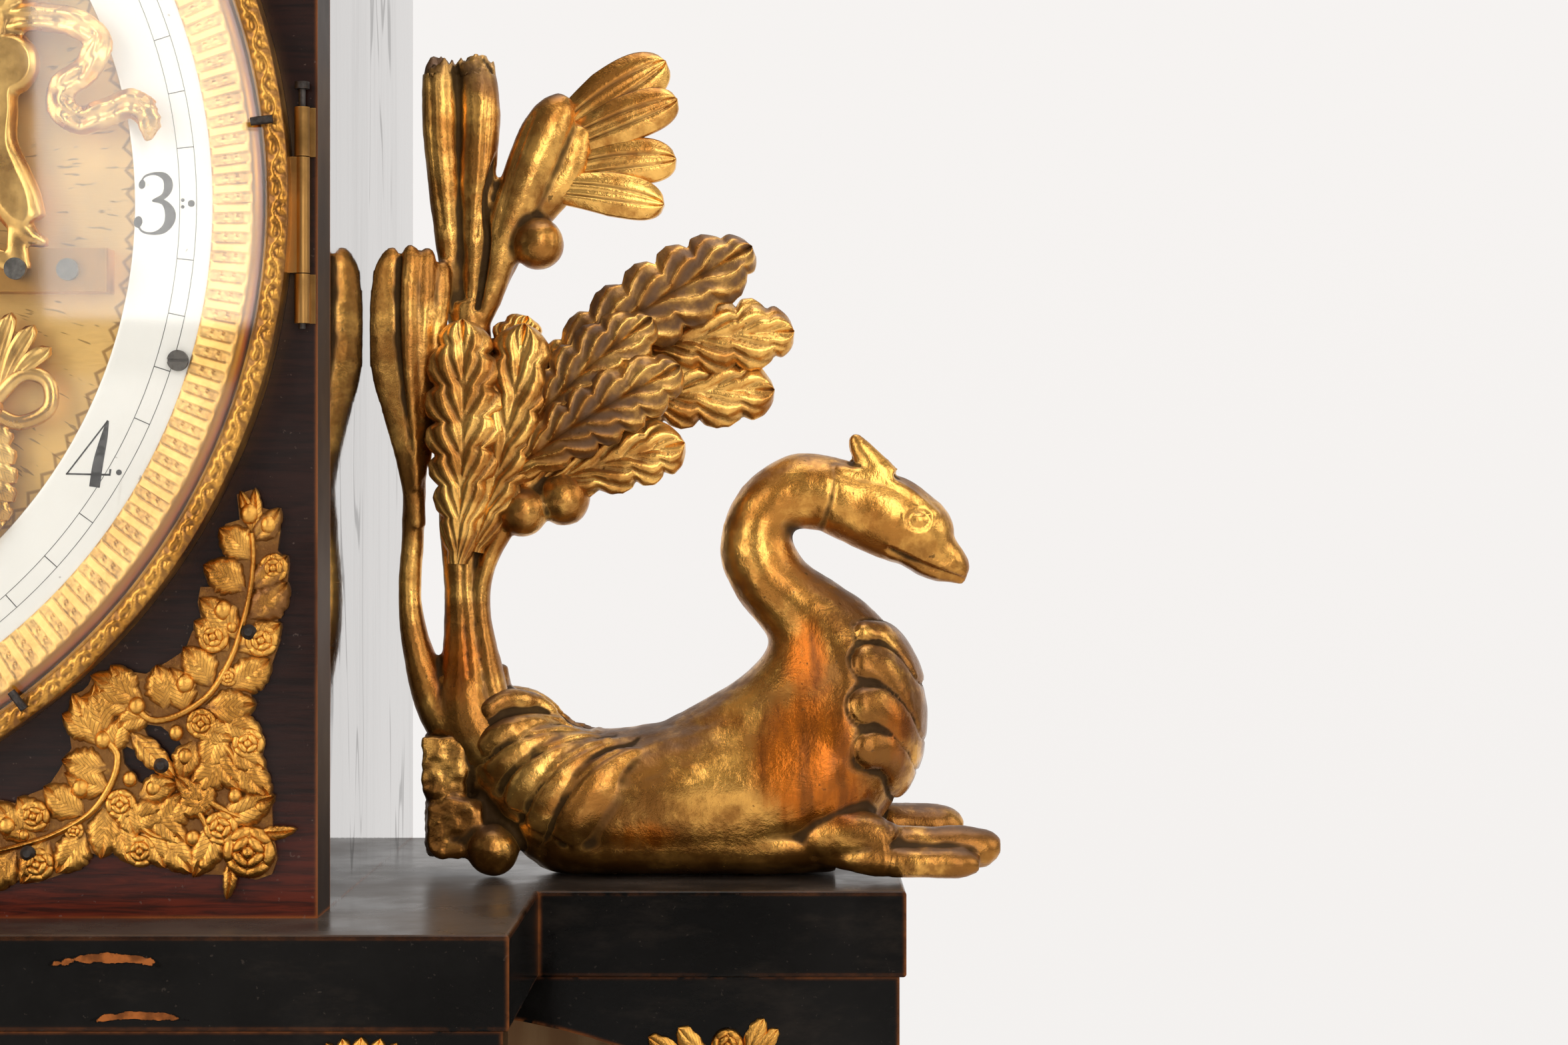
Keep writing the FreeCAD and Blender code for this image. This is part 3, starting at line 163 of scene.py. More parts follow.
def vectors(mesh, key):
    """Rows of three numbers kept on every vertex."""
    rows = np.empty(len(mesh.vertices) * 3)
    mesh.vertices.foreach_get(key, rows)
    return rows.reshape(-1, 3)


def put_back(mesh, spots):
    mesh.vertices.foreach_set("co", (spots * MM).ravel())
    mesh.update()


def to_mesh(bm, name):
    mesh = bpy.data.meshes.new(name)
    bm.to_mesh(mesh)
    bm.free()
    return mesh


# Meshes are drawn in millimetres and scaled once, when a piece is finished.
def finish_piece(name, bm, material, body, nodes=(), smooth=SHARP):
    bmesh.ops.recalc_face_normals(bm, faces=bm.faces)
    bmesh.ops.scale(bm, vec=(MM, MM, MM), verts=bm.verts)
    return finish_mesh(name, to_mesh(bm, name), material, body, nodes, smooth)


def finish_mesh(name, mesh, material, body, nodes=(), smooth=SHARP):
    mesh.materials.clear()
    mesh.materials.append(material)
    mesh.polygons.foreach_set("use_smooth", [True] * len(mesh.polygons))
    if smooth < SMOOTH:
        mesh.set_sharp_from_angle(angle=math.radians(smooth))
    piece = bpy.data.objects.new(name, mesh)
    bpy.context.scene.collection.objects.link(piece)
    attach(piece, body)
    if nodes:
        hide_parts(*nodes)
    return piece


def finish_pair(name, mesh, material, body, nodes):
    """Finishes a right-hand piece and its mirror image. Each {} in the names takes the side."""
    for side in ("right", "left"):
        whole = name.format(side)
        half = mesh if side == "right" else mirrored(mesh, whole)
        covered = [node.format(side) for node in nodes]
        finish_mesh(whole, half, material, body.format(side), covered, SMOOTH)


@contextmanager
def patch(bm):
    """Small mesh to draw one form in, added to the whole when done."""
    part = bmesh.new()
    yield part
    scrap = to_mesh(part, "patch")
    bm.from_mesh(scrap)
    bpy.data.meshes.remove(scrap)


def spun(bm, profile, steps):
    """Turns a closed profile of (radius, depth ahead of the face) about the dial's axis, by twelfths."""
    first = [bm.verts.new((radius, face_y - depth, dial_z)) for radius, depth in profile]
    edges = [bm.edges.new(pair) for pair in zip(first, first[1:] + first[:1])]
    middle = Vector((0, 0, dial_z))
    twelfth = math.pi / 6
    bmesh.ops.spin(bm, geom=first + edges, cent=middle, axis=(0, 1, 0), angle=twelfth, steps=steps // 12)
    sector = bm.verts[:] + bm.edges[:] + bm.faces[:]
    for turn in range(1, 12):
        copy = bmesh.ops.duplicate(bm, geom=sector)["geom"]
        bmesh.ops.rotate(bm, cent=middle, matrix=Matrix.Rotation(twelfth * turn, 3, "Y"),
                         verts=verts_of(copy))
    bmesh.ops.remove_doubles(bm, verts=bm.verts, dist=0.001)


def curve_through(points, steps):
    """Smooth run of points through the given rows of numbers."""
    rows = np.array(points, float)
    padded = np.vstack([2 * rows[0] - rows[1], rows, 2 * rows[-1] - rows[-2]])
    run = []
    for index in range(1, len(padded) - 2):
        a, b, c, d = padded[index - 1:index + 3]
        for step in range(steps):
            t = step / steps
            run.append(0.5 * (2 * b + (c - a) * t + (2 * a - 5 * b + 4 * c - d) * t ** 2
                              + (3 * b - a - 3 * c + d) * t ** 3))
    run.append(rows[-1])
    return np.array(run)


def sweep(whole, stations, segments):
    """Joins rings along stations of (x, y, z, half across, half along y)."""
    side = Vector((0, 1, 0))
    spots = [Vector(row[:3]) for row in stations]
    with patch(whole) as bm:
        loops = []
        for index, row in enumerate(stations):
            along = (spots[min(index + 1, len(spots) - 1)] - spots[max(index - 1, 0)]).normalized()
            flat = (side - along * side.dot(along)).normalized()
            turn = Matrix((along.cross(flat), flat, along)).transposed()
            made = bmesh.ops.create_circle(bm, cap_ends=False, radius=1.0, segments=segments)["verts"]
            for vert in made:
                vert.co = spots[index] + turn @ Vector((vert.co.x * row[3], vert.co.y * row[4], 0))
            loops.append(list({edge for vert in made for edge in vert.link_edges}))
        for here, there in zip(loops, loops[1:]):
            bmesh.ops.bridge_loops(bm, edges=here + there)
        for loop in (loops[0], loops[-1]):
            bmesh.ops.holes_fill(bm, edges=loop, sides=0)


def orb(whole, place, radius, stretch=(1, 1, 1), turn=None, detail=16):
    shape = Matrix.Diagonal((*stretch, 1.0))
    if turn is not None:
        shape = turn.to_4x4() @ shape
    with patch(whole) as bm:
        bmesh.ops.create_uvsphere(bm, u_segments=detail, v_segments=detail // 2 + 2, radius=radius,
                                  matrix=Matrix.Translation(place) @ shape)


def mirrored(mesh, name):
    """Copy of a finished mesh turned over to the other side of the clock."""
    bm = bmesh.new()
    bm.from_mesh(mesh)
    bmesh.ops.scale(bm, vec=(-1, 1, 1), verts=bm.verts)
    bmesh.ops.reverse_faces(bm, faces=bm.faces)
    return to_mesh(bm, name)


def carved(name, bm, voxel, smoothing, ripple):
    """Melts overlapping forms into one uneven skin. Gives its mesh, places and directions."""
    bmesh.ops.recalc_face_normals(bm, faces=bm.faces)
    rough = to_mesh(bm, name + "_rough")
    block = bpy.data.objects.new(name + "_rough", rough)
    bpy.context.scene.collection.objects.link(block)
    melt = block.modifiers.new("Melt", "REMESH")
    melt.mode = "VOXEL"
    melt.voxel_size = voxel
    melt.adaptivity = 0.0
    ease = block.modifiers.new("Ease", "SMOOTH")
    ease.factor = 0.5
    ease.iterations = smoothing
    graph = bpy.context.evaluated_depsgraph_get()
    mesh = bpy.data.meshes.new_from_object(block.evaluated_get(graph))
    bpy.data.objects.remove(block)
    bpy.data.meshes.remove(rough)
    spots, normals = vectors(mesh, "co"), vectors(mesh, "normal")
    spots = spots + normals * (fractal(spots, *RIPPLES) * ripple)[:, None]
    return mesh, spots, normals


def spreader(mesh):
    """Function that gives every vertex the mean of its neighbours."""
    count = len(mesh.vertices)
    ends = np.empty(len(mesh.edges) * 2, int)
    mesh.edges.foreach_get("vertices", ends)
    a, b = ends.reshape(-1, 2).T
    degree = np.maximum(np.bincount(a, minlength=count) + np.bincount(b, minlength=count), 1)

    def spread(values):
        return (np.bincount(a, values[b], count) + np.bincount(b, values[a], count)) / degree

    return spread


def hollows(mesh, spots, normals, rounds):
    """Depth of every vertex below the mean of its surroundings."""
    spread = spreader(mesh)
    broad = eased(mesh, spots, 1.0, rounds)
    depth = ((broad - spots) * normals).sum(axis=1)
    for _ in range(2):
        depth = spread(depth)
    return depth


def eased(mesh, spots, share, rounds):
    """Vertices moved towards the mean of their neighbours by a share, some rounds over."""
    spread = spreader(mesh)
    moved = spots.copy()
    for _ in range(rounds):
        for axis in range(3):
            moved[:, axis] += share * (spread(moved[:, axis]) - moved[:, axis])
    return moved


def keep_value(mesh, name, values):
    layer = mesh.attributes.new(name, "FLOAT", "POINT")
    layer.data.foreach_set("value", np.ascontiguousarray(values, dtype=np.float32))


# Materials
class Graph:
    """Node tree of one procedural material."""

    def __init__(self, name):
        self.material = bpy.data.materials.new(name)
        self.material.use_nodes = True
        self.tree = self.material.node_tree
        self.tree.nodes.clear()
        self.place = self.add("ShaderNodeTexCoord").outputs["Object"]

    def add(self, kind, inputs=None, **settings):
        node = self.tree.nodes.new(kind)
        for key, value in settings.items():
            setattr(node, key, value)
        for key, value in (inputs or {}).items():
            self.put(node.inputs[key], value)
        return node

    def put(self, socket, value):
        if isinstance(value, bpy.types.NodeSocket):
            self.tree.links.new(value, socket)
        elif socket.type == "RGBA" and len(value) == 3:
            socket.default_value = (*value, 1.0)
        else:
            socket.default_value = value

    def calc(self, operation, first, second=0.0):
        return self.add("ShaderNodeMath", {0: first, 1: second}, operation=operation).outputs[0]

    plus = partialmethod(calc, "ADD")
    minus = partialmethod(calc, "SUBTRACT")
    times = partialmethod(calc, "MULTIPLY")
    most = partialmethod(calc, "MAXIMUM")

    def hypot(self, first, second):
        return self.calc("SQRT", self.plus(self.times(first, first), self.times(second, second)))

    def stretched(self, *stretch):
        return self.add("ShaderNodeMapping", {"Vector": self.place, "Scale": stretch}).outputs[0]

    def noise(self, scale, detail=4.0, rough=0.55, vector=None, distortion=0.0):
        return self.add("ShaderNodeTexNoise", {
            "Vector": vector or self.place, "Scale": scale, "Detail": detail, "Roughness": rough,
            "Distortion": distortion}).outputs[0]

    def span(self, value, low, high, first=0.0, last=1.0):
        return self.add("ShaderNodeMapRange", {0: value, 1: low, 2: high, 3: first, 4: last},
                        interpolation_type="SMOOTHSTEP").outputs[0]

    def blend(self, factor, first, second):
        return self.add("ShaderNodeMix", {0: factor, 6: first, 7: second}, data_type="RGBA").outputs[2]

    def value(self, name):
        return self.add("ShaderNodeAttribute", attribute_name=name).outputs["Fac"]

    def axes(self, vector=None):
        return self.add("ShaderNodeSeparateXYZ", {0: vector or self.place}).outputs

    def facing(self):
        """Parts of the surface's direction along x, y and z."""
        return self.axes(self.add("ShaderNodeNewGeometry").outputs["Normal"])

    def bump(self, height, strength, distance, below=None):
        node = self.add("ShaderNodeBump", {"Height": height, "Strength": strength, "Distance": distance})
        if below is not None:
            self.put(node.inputs["Normal"], below)
        return node.outputs[0]

    def edges(self, radius):
        """1 near a sharp edge and 0 on the flat."""
        soft = self.add("ShaderNodeBevel", {"Radius": radius}, samples=6).outputs[0]
        plain = self.add("ShaderNodeNewGeometry").outputs["Normal"]
        turned = self.add("ShaderNodeVectorMath", {0: soft, 1: plain}, operation="DOT_PRODUCT")
        return self.span(turned.outputs["Value"], 0.995, 0.86)

    def surface(self, **inputs):
        names = {key.replace("_", " "): value for key, value in inputs.items()}
        return self.show(self.add("ShaderNodeBsdfPrincipled", names).outputs[0])

    def show(self, shader):
        self.add("ShaderNodeOutputMaterial", {"Surface": shader})
        return self.material


def gilt_carving():
    """Burnished gold leaf over red bole under brown varnish: worn through, dusty on top, grime and painted
    shade in the hollows, and a painted highlight on parts that catch the lamps.
    """
    tint = sizes("clock_colours")
    g = Graph("carved_gilding")
    broad = g.noise(24.0, 4.0, 0.6)
    cloud = g.noise(80.0, 6.0, 0.66)
    grain = g.noise(280.0, 6.0, 0.68)
    fine = g.noise(1100.0, 6.0, 0.7)
    streak = g.noise(120.0, 5.0, 0.6, g.stretched(2.6, 1.0, 0.5))
    hollow, worn, dusty = g.value("hollow"), g.value("worn"), g.value("dusty")
    bright = shade(tint.gold, 1.2)
    deep = shade(tint.gold, 0.60, 0.48, 0.38)
    patches = g.plus(cloud, g.times(grain, 0.35))
    leaf = g.blend(g.span(patches, 0.58, 0.80), deep, bright)
    leaf = g.blend(g.times(g.span(broad, 0.34, 0.58), g.span(patches, 0.90, 0.64)), leaf, tint.toner)
    # Painted highlight: brighter, livelier gold mixed in by the share kept on the mesh, for parts that
    # catch the lamps.
    lit_gold = g.blend(g.span(patches, 0.58, 0.80), (0.44, 0.18, 0.032), (1.0, 0.56, 0.14))
    leaf = g.blend(g.value("lit_gold"), leaf, lit_gold)
    torn = g.plus(worn, g.times(streak, 0.55))
    bare = g.span(g.plus(torn, g.times(grain, 0.25)), 0.64, 0.88, 0.0, 0.94)
    clay = g.blend(g.span(streak, 0.38, 0.66), tint.bole, shade(tint.bole, 0.38))
    body = g.blend(bare, leaf, clay)
    up = g.facing()[2]
    film = g.times(g.span(up, 0.35, 0.95), g.span(patches, 0.55, 0.80, 0.88, 0.42))
    film = g.most(film, g.times(dusty, g.span(patches, 0.55, 0.85, 0.95, 0.45)))
    body = g.blend(film, body, g.blend(g.span(grain, 0.35, 0.7), tint.dust, shade(tint.dust, 0.55)))
    # Grime and painted shade: hollows, creases and veins marked hollow darken towards the grime colour, and
    # random pits join them.
    grime_and_shade_mask = g.span(g.plus(hollow, g.times(grain, 0.07)), 0.045, 0.20, 0.0, 0.94)
    pits = g.span(g.noise(640.0, 3.0, 0.6), 0.68, 0.74, 0.0, 0.7)
    grime_and_shade_mask = g.most(grime_and_shade_mask, pits)
    body = g.blend(grime_and_shade_mask, body, tint.grime)
    dull = g.most(g.times(bare, 0.12), g.most(grime_and_shade_mask, g.times(film, 0.6)))
    rough = g.plus(g.span(patches, 0.5, 0.85, 0.28, 0.14), g.times(g.most(grime_and_shade_mask, film), 0.3))
    relief = g.bump(fine, 0.25, 0.0002, g.bump(grain, 0.35, 0.0006))
    return g.surface(Base_Color=body, Metallic=g.times(g.minus(1.0, dull), 0.88),
                     Roughness=rough, Normal=relief, Specular_IOR_Level=g.span(grime_and_shade_mask, 0.1, 0.7, 0.5, 0.04),
                     Coat_Weight=g.span(grime_and_shade_mask, 0.1, 0.7, 0.06, 0.0), Coat_Roughness=0.2)


def gilt_metal(name, base, depth, rough, scratch=0.12):
    """Fire-gilt brass with painted shadow in its hollows and along its leaves' veins."""
    g = Graph(name)
    cloud = g.noise(120.0, 5.0, 0.6)
    fine = g.noise(2200.0, 4.0, 0.6)
    punched = g.noise(1100.0, 3.0, 0.6)
    bright = shade(base, 1.12)
    dull = shade(base, 0.66, 0.56, 0.46)
    leaf = g.blend(g.span(cloud, 0.35, 0.65), dull, bright)
    # Painted shadow of the bezel: the sight ring's outer band turns darker and browner by this share.
    leaf = g.blend(g.value("bezel_shadow"), leaf, shade(base, 0.42, 0.27, 0.06))
    # Painted shade: low ground and hollows darken towards the shadow colour, mixed with a punched stipple
    # of the ground.
    low = g.plus(g.value("hollow"), g.times(punched, 0.20))
    hollow = g.span(low, 0.10, 0.24, 0.0, depth)
    shadow = shade(base, 0.17, 0.11, 0.09)
    # The veins of the leaves get a line of painted shade as well as a cut.
    line = g.calc("ABSOLUTE", g.calc("SINE", g.times(g.value("vein"), math.pi)))
    cut = g.times(g.span(line, 0.5, 0.05), g.value("leafy"))
    hollow = g.most(hollow, g.times(cut, depth * 0.8))
    metal = g.minus(1.0, g.times(hollow, 0.5))
    gloss = g.span(cloud, 0.3, 0.7, rough * 0.8, rough * 1.25)
    relief = g.bump(cut, -0.9, 0.0003, g.bump(fine, scratch, 0.0002))
    body = g.blend(hollow, leaf, shadow)
    return g.surface(Base_Color=body, Metallic=metal, Roughness=gloss, Normal=relief)


def brushed_brass(name, base, rough, tarnish):
    g = Graph(name)
    lines = g.noise(60.0, 4.0, 0.6, g.stretched(40.0, 40.0, 1.0))
    cloud = g.noise(90.0, 5.0, 0.6)
    dark = shade(base, 0.45)
    body = g.blend(g.times(g.span(cloud, 0.42, 0.75), tarnish), base, dark)
    worn = g.edges(0.0004)
    body = g.blend(g.times(worn, 0.35), body, shade(base, 1.3))
    gloss = g.span(cloud, 0.3, 0.7, rough * 0.8, rough * 1.3)
    return g.surface(Base_Color=body, Metallic=1.0, Roughness=gloss, Normal=g.bump(lines, 0.08, 0.0002))


def dark_steel(name, base, rough):
    g = Graph(name)
    cloud = g.noise(700.0, 5.0, 0.65)
    spots = g.span(g.noise(1500.0, 3.0, 0.6), 0.56, 0.68)
    body = g.blend(g.span(cloud, 0.35, 0.7), base, shade(base, 0.4))
    body = g.blend(g.times(spots, 0.5), body, (0.06, 0.035, 0.02))
    return g.surface(Base_Color=body, Metallic=0.9, Roughness=g.span(cloud, 0.3, 0.7, rough, rough + 0.25),
                     Normal=g.bump(cloud, 0.2, 0.0003))


def black_polish(name, base, along, gloss=0.16, dust=0.0, shine=0.3, bare=(), cracks=0.0):
    """Ebonised wood: pores along the grain and edges worn to the wood.

    Bare places are rows of (x, z, half width, half height) on the front.
    """
    tint = sizes("clock_colours")
    g = Graph(name)
    pull = tuple(1.0 if axis == along else 16.0 for axis in range(3))
    pores = g.noise(130.0, 6.0, 0.7, g.stretched(*pull))
    cloud = g.noise(34.0, 5.0, 0.6)
    flecks = g.noise(420.0, 4.0, 0.6)
    wear = g.times(g.edges(0.0012), g.span(g.plus(cloud, g.times(flecks, 0.5)), 0.58, 0.74))
    body = g.blend(g.span(cloud, 0.35, 0.7), base, tuple(part * 1.9 + 0.002 for part in base))
    x, y, z = g.axes()
    for middle, height, wide, tall in bare:
        aside = g.calc("DIVIDE", g.minus(x, middle * MM), wide * MM)
        above = g.calc("DIVIDE", g.minus(z, height * MM), tall * MM)
        above = g.plus(above, g.times(g.times(aside, aside), 0.8))
        reach = g.hypot(aside, above)
        reach = g.plus(reach, g.times(g.noise(260.0, 5.0, 0.65), 1.9))
        front = g.span(y, -0.058, -0.062)
        body = g.blend(g.times(g.span(reach, 2.05, 1.90), front), body, (0.002, 0.0015, 0.001))
        wear = g.most(wear, g.times(g.span(reach, 1.84, 1.74), front))
    wood = g.blend(g.span(flecks, 0.35, 0.65), tint.worn, shade(tint.worn, 0.4))
    body = g.blend(wear, body, wood)
    rubbed = g.noise(48.0, 7.0, 0.72, g.stretched(0.6, 1.0, 1.6))
    body = g.blend(g.span(rubbed, 0.52, 0.70, 0.0, 0.22), body, (0.045, 0.033, 0.024))
    scuff = g.span(g.noise(1300.0, 2.0, 0.5), 0.71, 0.75, 0.0, 0.35)
    up = g.facing()[2]
    film = g.times(g.times(g.span(up, 0.6, 0.98), dust), g.span(cloud, 0.3, 0.65, 0.3, 1.0))
    body = g.blend(g.most(g.times(scuff, 0.4), film), body, (0.13, 0.10, 0.08))
    rough = g.plus(g.span(cloud, 0.3, 0.75, gloss * 0.8, gloss * 1.6), g.times(wear, 0.35))
    rough = g.plus(rough, g.times(film, 0.25))
    relief = g.bump(g.span(pores, 0.62, 0.72), -0.35, 0.0002, g.bump(flecks, 0.05, 0.0003))
    lacquer = {}
    if cracks:
        run = g.noise(24.0, 3.0, 0.55, g.stretched(1.0, 1.0, 0.16))
        split = g.calc("ABSOLUTE", g.minus(run, 0.5))
        gate = g.span(g.noise(17.0, 2.0, 0.5, g.stretched(1.0, 1.0, 1.4)), 0.50, 0.56)
        split = g.times(g.span(split, 0.007, 0.002), gate)
        dry = g.noise(90.0, 8.0, 0.78, g.stretched(1.0, 1.0, 0.06))
        coat = g.times(g.span(dry, 0.46, 0.72, cracks, cracks * 0.72), g.minus(1.0, split))
        relief = g.bump(split, -0.6, 0.0006, relief)
        lacquer = {"Coat_Weight": coat, "Coat_Roughness": 0.03, "Coat_IOR": 1.7}
    return g.surface(Base_Color=body, Roughness=rough, Normal=relief, Specular_IOR_Level=shine, **lacquer)


def red_veneer():
    """Dark mahogany front, redder towards the foot where the polish has thinned."""
    tint = sizes("clock_colours")
    g = Graph("dark_mahogany_veneer")
    grain = g.noise(90.0, 6.0, 0.65, g.stretched(1.0, 6.0, 14.0), 0.6)
    cloud = g.noise(22.0, 4.0, 0.6)
    flecks = g.noise(500.0, 4.0, 0.6)
    height = g.axes()[2]
    low = g.span(g.plus(height, g.times(cloud, 0.012)), slab_z * MM + 0.028, slab_z * MM + 0.006)
    body = g.blend(g.span(grain, 0.35, 0.7), tint.mahogany, shade(tint.mahogany, 0.35))
    red = g.blend(g.span(grain, 0.35, 0.68), (0.115, 0.014, 0.004), (0.03, 0.005, 0.002))
    body = g.blend(g.times(low, 0.9), body, red)
    aside = g.facing()[0]
    board_end = g.span(g.calc("ABSOLUTE", aside), 0.5, 0.8)
    raw = g.blend(g.span(cloud, 0.35, 0.65), (0.030, 0.017, 0.009), (0.012, 0.006, 0.004))
    body = g.blend(board_end, body, raw)
    wear = g.times(g.edges(0.0010), g.span(cloud, 0.30, 0.55))
    body = g.blend(g.times(wear, 0.8), body, tint.worn)
    scuff = g.span(g.noise(1200.0, 2.0, 0.5), 0.715, 0.75, 0.0, 0.3)
    body = g.blend(scuff, body, (0.16, 0.11, 0.09))
    rough = g.plus(g.span(cloud, 0.3, 0.7, 0.20, 0.36), g.times(board_end, 0.3))
    relief = g.bump(flecks, 0.06, 0.0003, g.bump(grain, 0.05, 0.0004))
    return g.surface(Base_Color=body, Roughness=rough, Normal=relief, Specular_IOR_Level=0.4)


def bare_pine():
    tint = sizes("clock_colours")
    g = Graph("bare_pine_board")
    warp = g.stretched(1.0, 1.0, 0.07)
    rings = g.noise(70.0, 3.0, 0.5, warp, 1.2)
    fibres = g.noise(900.0, 5.0, 0.6, g.stretched(1.0, 1.0, 0.04))
    cloud = g.noise(16.0, 4.0, 0.6)
    dark = shade(tint.pine, 0.62, 0.5, 0.4)
    body = g.blend(g.span(rings, 0.35, 0.68), tint.pine, dark)
    body = g.blend(g.span(cloud, 0.4, 0.75, 0.0, 0.5), body, shade(tint.pine, 0.45))
    body = g.blend(g.span(fibres, 0.45, 0.8, 0.0, 0.35), body, dark)
    return g.surface(Base_Color=body, Roughness=0.72, Normal=g.bump(fibres, 0.25, 0.0004))


def fired_enamel():
    """White enamel with a slight orange-peel surface, clouded yellowing and hairline cracks."""
    tint = sizes("clock_colours")
    g = Graph("fired_enamel")
    cloud = g.noise(24.0, 4.0, 0.6)
    peel = g.noise(240.0, 2.0, 0.5)
    cracks = g.add("ShaderNodeTexVoronoi", {"Vector": g.place, "Scale": 38.0},
                   feature="DISTANCE_TO_EDGE").outputs[0]
    line = g.times(g.span(cracks, 0.012, 0.003), g.span(cloud, 0.58, 0.66, 0.0, 0.30))
    body = g.blend(g.span(cloud, 0.35, 0.7, 0.0, 0.6), tint.enamel, (0.80, 0.785, 0.745))
    body = g.blend(line, body, (0.30, 0.24, 0.18))
    specks = g.span(g.noise(700.0, 2.0, 0.5), 0.735, 0.765, 0.0, 0.5)
    body = g.blend(specks, body, (0.22, 0.19, 0.16))
    return g.surface(Base_Color=body, Roughness=0.16, Normal=g.bump(peel, 0.03, 0.0004),
                     Coat_Weight=0.4, Coat_Roughness=0.05)


def fired_ink():
    tint = sizes("clock_colours")
    g = Graph("fired_ink")
    thin = g.noise(800.0, 4.0, 0.6)
    body = g.blend(g.span(thin, 0.45, 0.75, 0.0, 0.55), tint.ink, (0.14, 0.14, 0.14))
    return g.surface(Base_Color=body, Roughness=g.span(thin, 0.3, 0.7, 0.2, 0.4))


def dome_glass():
    """Clear glass that lets light through and mirrors the lamps a little."""
    g = Graph("dome_glass")
    ripple = g.noise(45.0, 2.0, 0.4)
    smear = g.noise(18.0, 4.0, 0.6)
    bent = g.bump(ripple, 0.04, 0.0006)
    clear = g.add("ShaderNodeBsdfTransparent", {"Color": (0.985, 0.99, 0.985)}).outputs[0]
    shine = g.add("ShaderNodeBsdfGlossy", {
        "Color": (1.0, 1.0, 1.0), "Normal": bent,
        "Roughness": g.span(smear, 0.4, 0.7, 0.06, 0.09)}).outputs[0]
    amount = g.calc("MINIMUM", g.add("ShaderNodeFresnel", {"IOR": 1.5, "Normal": bent}).outputs[0], 0.075)
    return g.show(g.add("ShaderNodeMixShader", {0: amount, 1: clear, 2: shine}).outputs[0])


def engraved_plate():
    """Gilt middle of the dial: turned lines, bright-cut zigzag border and engraved rays."""
    tint = sizes("clock_colours")
    dial = sizes("clock_dial")
    g = Graph("engraved_dial_plate")
    x, _, z = g.axes()
    up = g.minus(z, dial_z * MM)
    radius = g.hypot(x, up)
    angle = g.calc("ARCTAN2", up, x)
    tooth = g.calc("PINGPONG", g.times(angle, 128.0 / math.pi), 1.0)
    edge = g.minus(dial.enamel_inner - 0.0001, radius)
    cut = g.minus(edge, g.times(tooth, 0.0014))
    zigzag = g.minus(1.0, g.span(g.calc("ABSOLUTE", cut), 0.0001, 0.0005))
    shimmer = g.noise(420.0, 4.0, 0.6, g.stretched(1.0, 1.0, 9.0))
    cloud = g.noise(60.0, 5.0, 0.6)
    rays = g.noise(70.0, 2.0, 0.5, g.add("ShaderNodeCombineXYZ", {
        0: angle, 1: g.times(radius, 3.0), 2: 0.0}).outputs[0])
    stroke = g.span(rays, 0.64, 0.68)
    base = g.blend(g.span(cloud, 0.35, 0.7), tint.ring, shade(tint.ring, 0.75))
    base = g.blend(g.times(stroke, 0.6), base, (0.20, 0.09, 0.02))
    base = g.blend(g.times(zigzag, 0.7), base, (0.26, 0.11, 0.02))
    relief = g.bump(zigzag, -0.5, 0.0003, g.bump(shimmer, 0.12, 0.0002))
    rough = g.span(shimmer, 0.3, 0.7, 0.42, 0.55)
    return g.surface(Base_Color=base, Metallic=0.9, Roughness=rough, Normal=relief)


# Rounding of the boards' edges in metres, and the least angle in degrees that is rounded
EASED_EDGE, EASED_ANGLE = 0.0005, 50
# Places on the slab's front worn to the wood: x, z, half width, half height
SLAB_WEAR = [(68.6, 210.2, 7, 0.85), (73.6, 202.3, 5.6, 0.6), (-41, 210.2, 5, 1.2)]


def dress(node, material):
    node.data.materials.clear()
    node.data.materials.append(material)


# Pieces
class CLOCK_OT_woodwork(bpy.types.Operator):
    """Polishes the boards of the case, slab, portal and plinth and eases their edges"""
    bl_idname = "clock.woodwork"
    bl_label = "Woodwork"

    def execute(self, context):
        tint = sizes("clock_colours")
        black = tuple(tint.black)
        slab = black_polish("ebonised_slab", black, 0, gloss=0.15, dust=0.5, shine=0.10, bare=SLAB_WEAR)
        sides = black_polish("ebonised_case", black, 2, gloss=0.04, shine=0.9, cracks=1.0)
        boards = black_polish("ebonised_portal", shade(black, 1.1), 0, gloss=0.17, shine=0.12)
        finish = {
            slab: ["entablature_slab"],
            sides: ["case_side_right", "case_side_left"],
            boards: ["plinth", "portal_front", "portal_apron", "portal_sides", "case_top", "cornice",
                     "feet"],
            bare_pine(): ["portal_backboard", "rear_door", "beast_dowels"],
            red_veneer(): ["case_front"],
        }
        for material, names in finish.items():
            for name in names:
                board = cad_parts[name]
                dress(board, material)
                ease = board.modifiers.new("Eased edges", "BEVEL")
                ease.width = EASED_EDGE
                ease.segments = 2
                ease.limit_method = "ANGLE"
                ease.angle_limit = math.radians(EASED_ANGLE)
                ease.harden_normals = True
        return {"FINISHED"}


def stroke(bm, points, width, turn, steps=10):
    """Ribbon of ink along points of (x, y, share of full width)."""
    run = curve_through(points, steps) if len(points) > 2 else np.array(points, float)
    made = bmesh.ops.create_grid(bm, x_segments=1, y_segments=len(run) - 1, size=1.0)["verts"]
    for vert in made:
        index = round((vert.co.y + 1) / 2 * (len(run) - 1))
        ahead = run[min(index + 1, len(run) - 1)][:2] - run[max(index - 1, 0)][:2]
        ahead = ahead / max(np.hypot(*ahead), 1e-9)
        edge = run[index][2] * width / 2 * (1 if vert.co.x > 0 else -1)
        vert.co = turn(run[index][0] + ahead[1] * edge, run[index][1] - ahead[0] * edge)


def ring_place(vert, repeats):
    """Radius of a vertex on the dial, and its place within one of the repeats around."""
    up = vert.co.z - dial_z
    return math.hypot(vert.co.x, up), (math.atan2(up, vert.co.x) / (2 * math.pi) * repeats) % 1.0


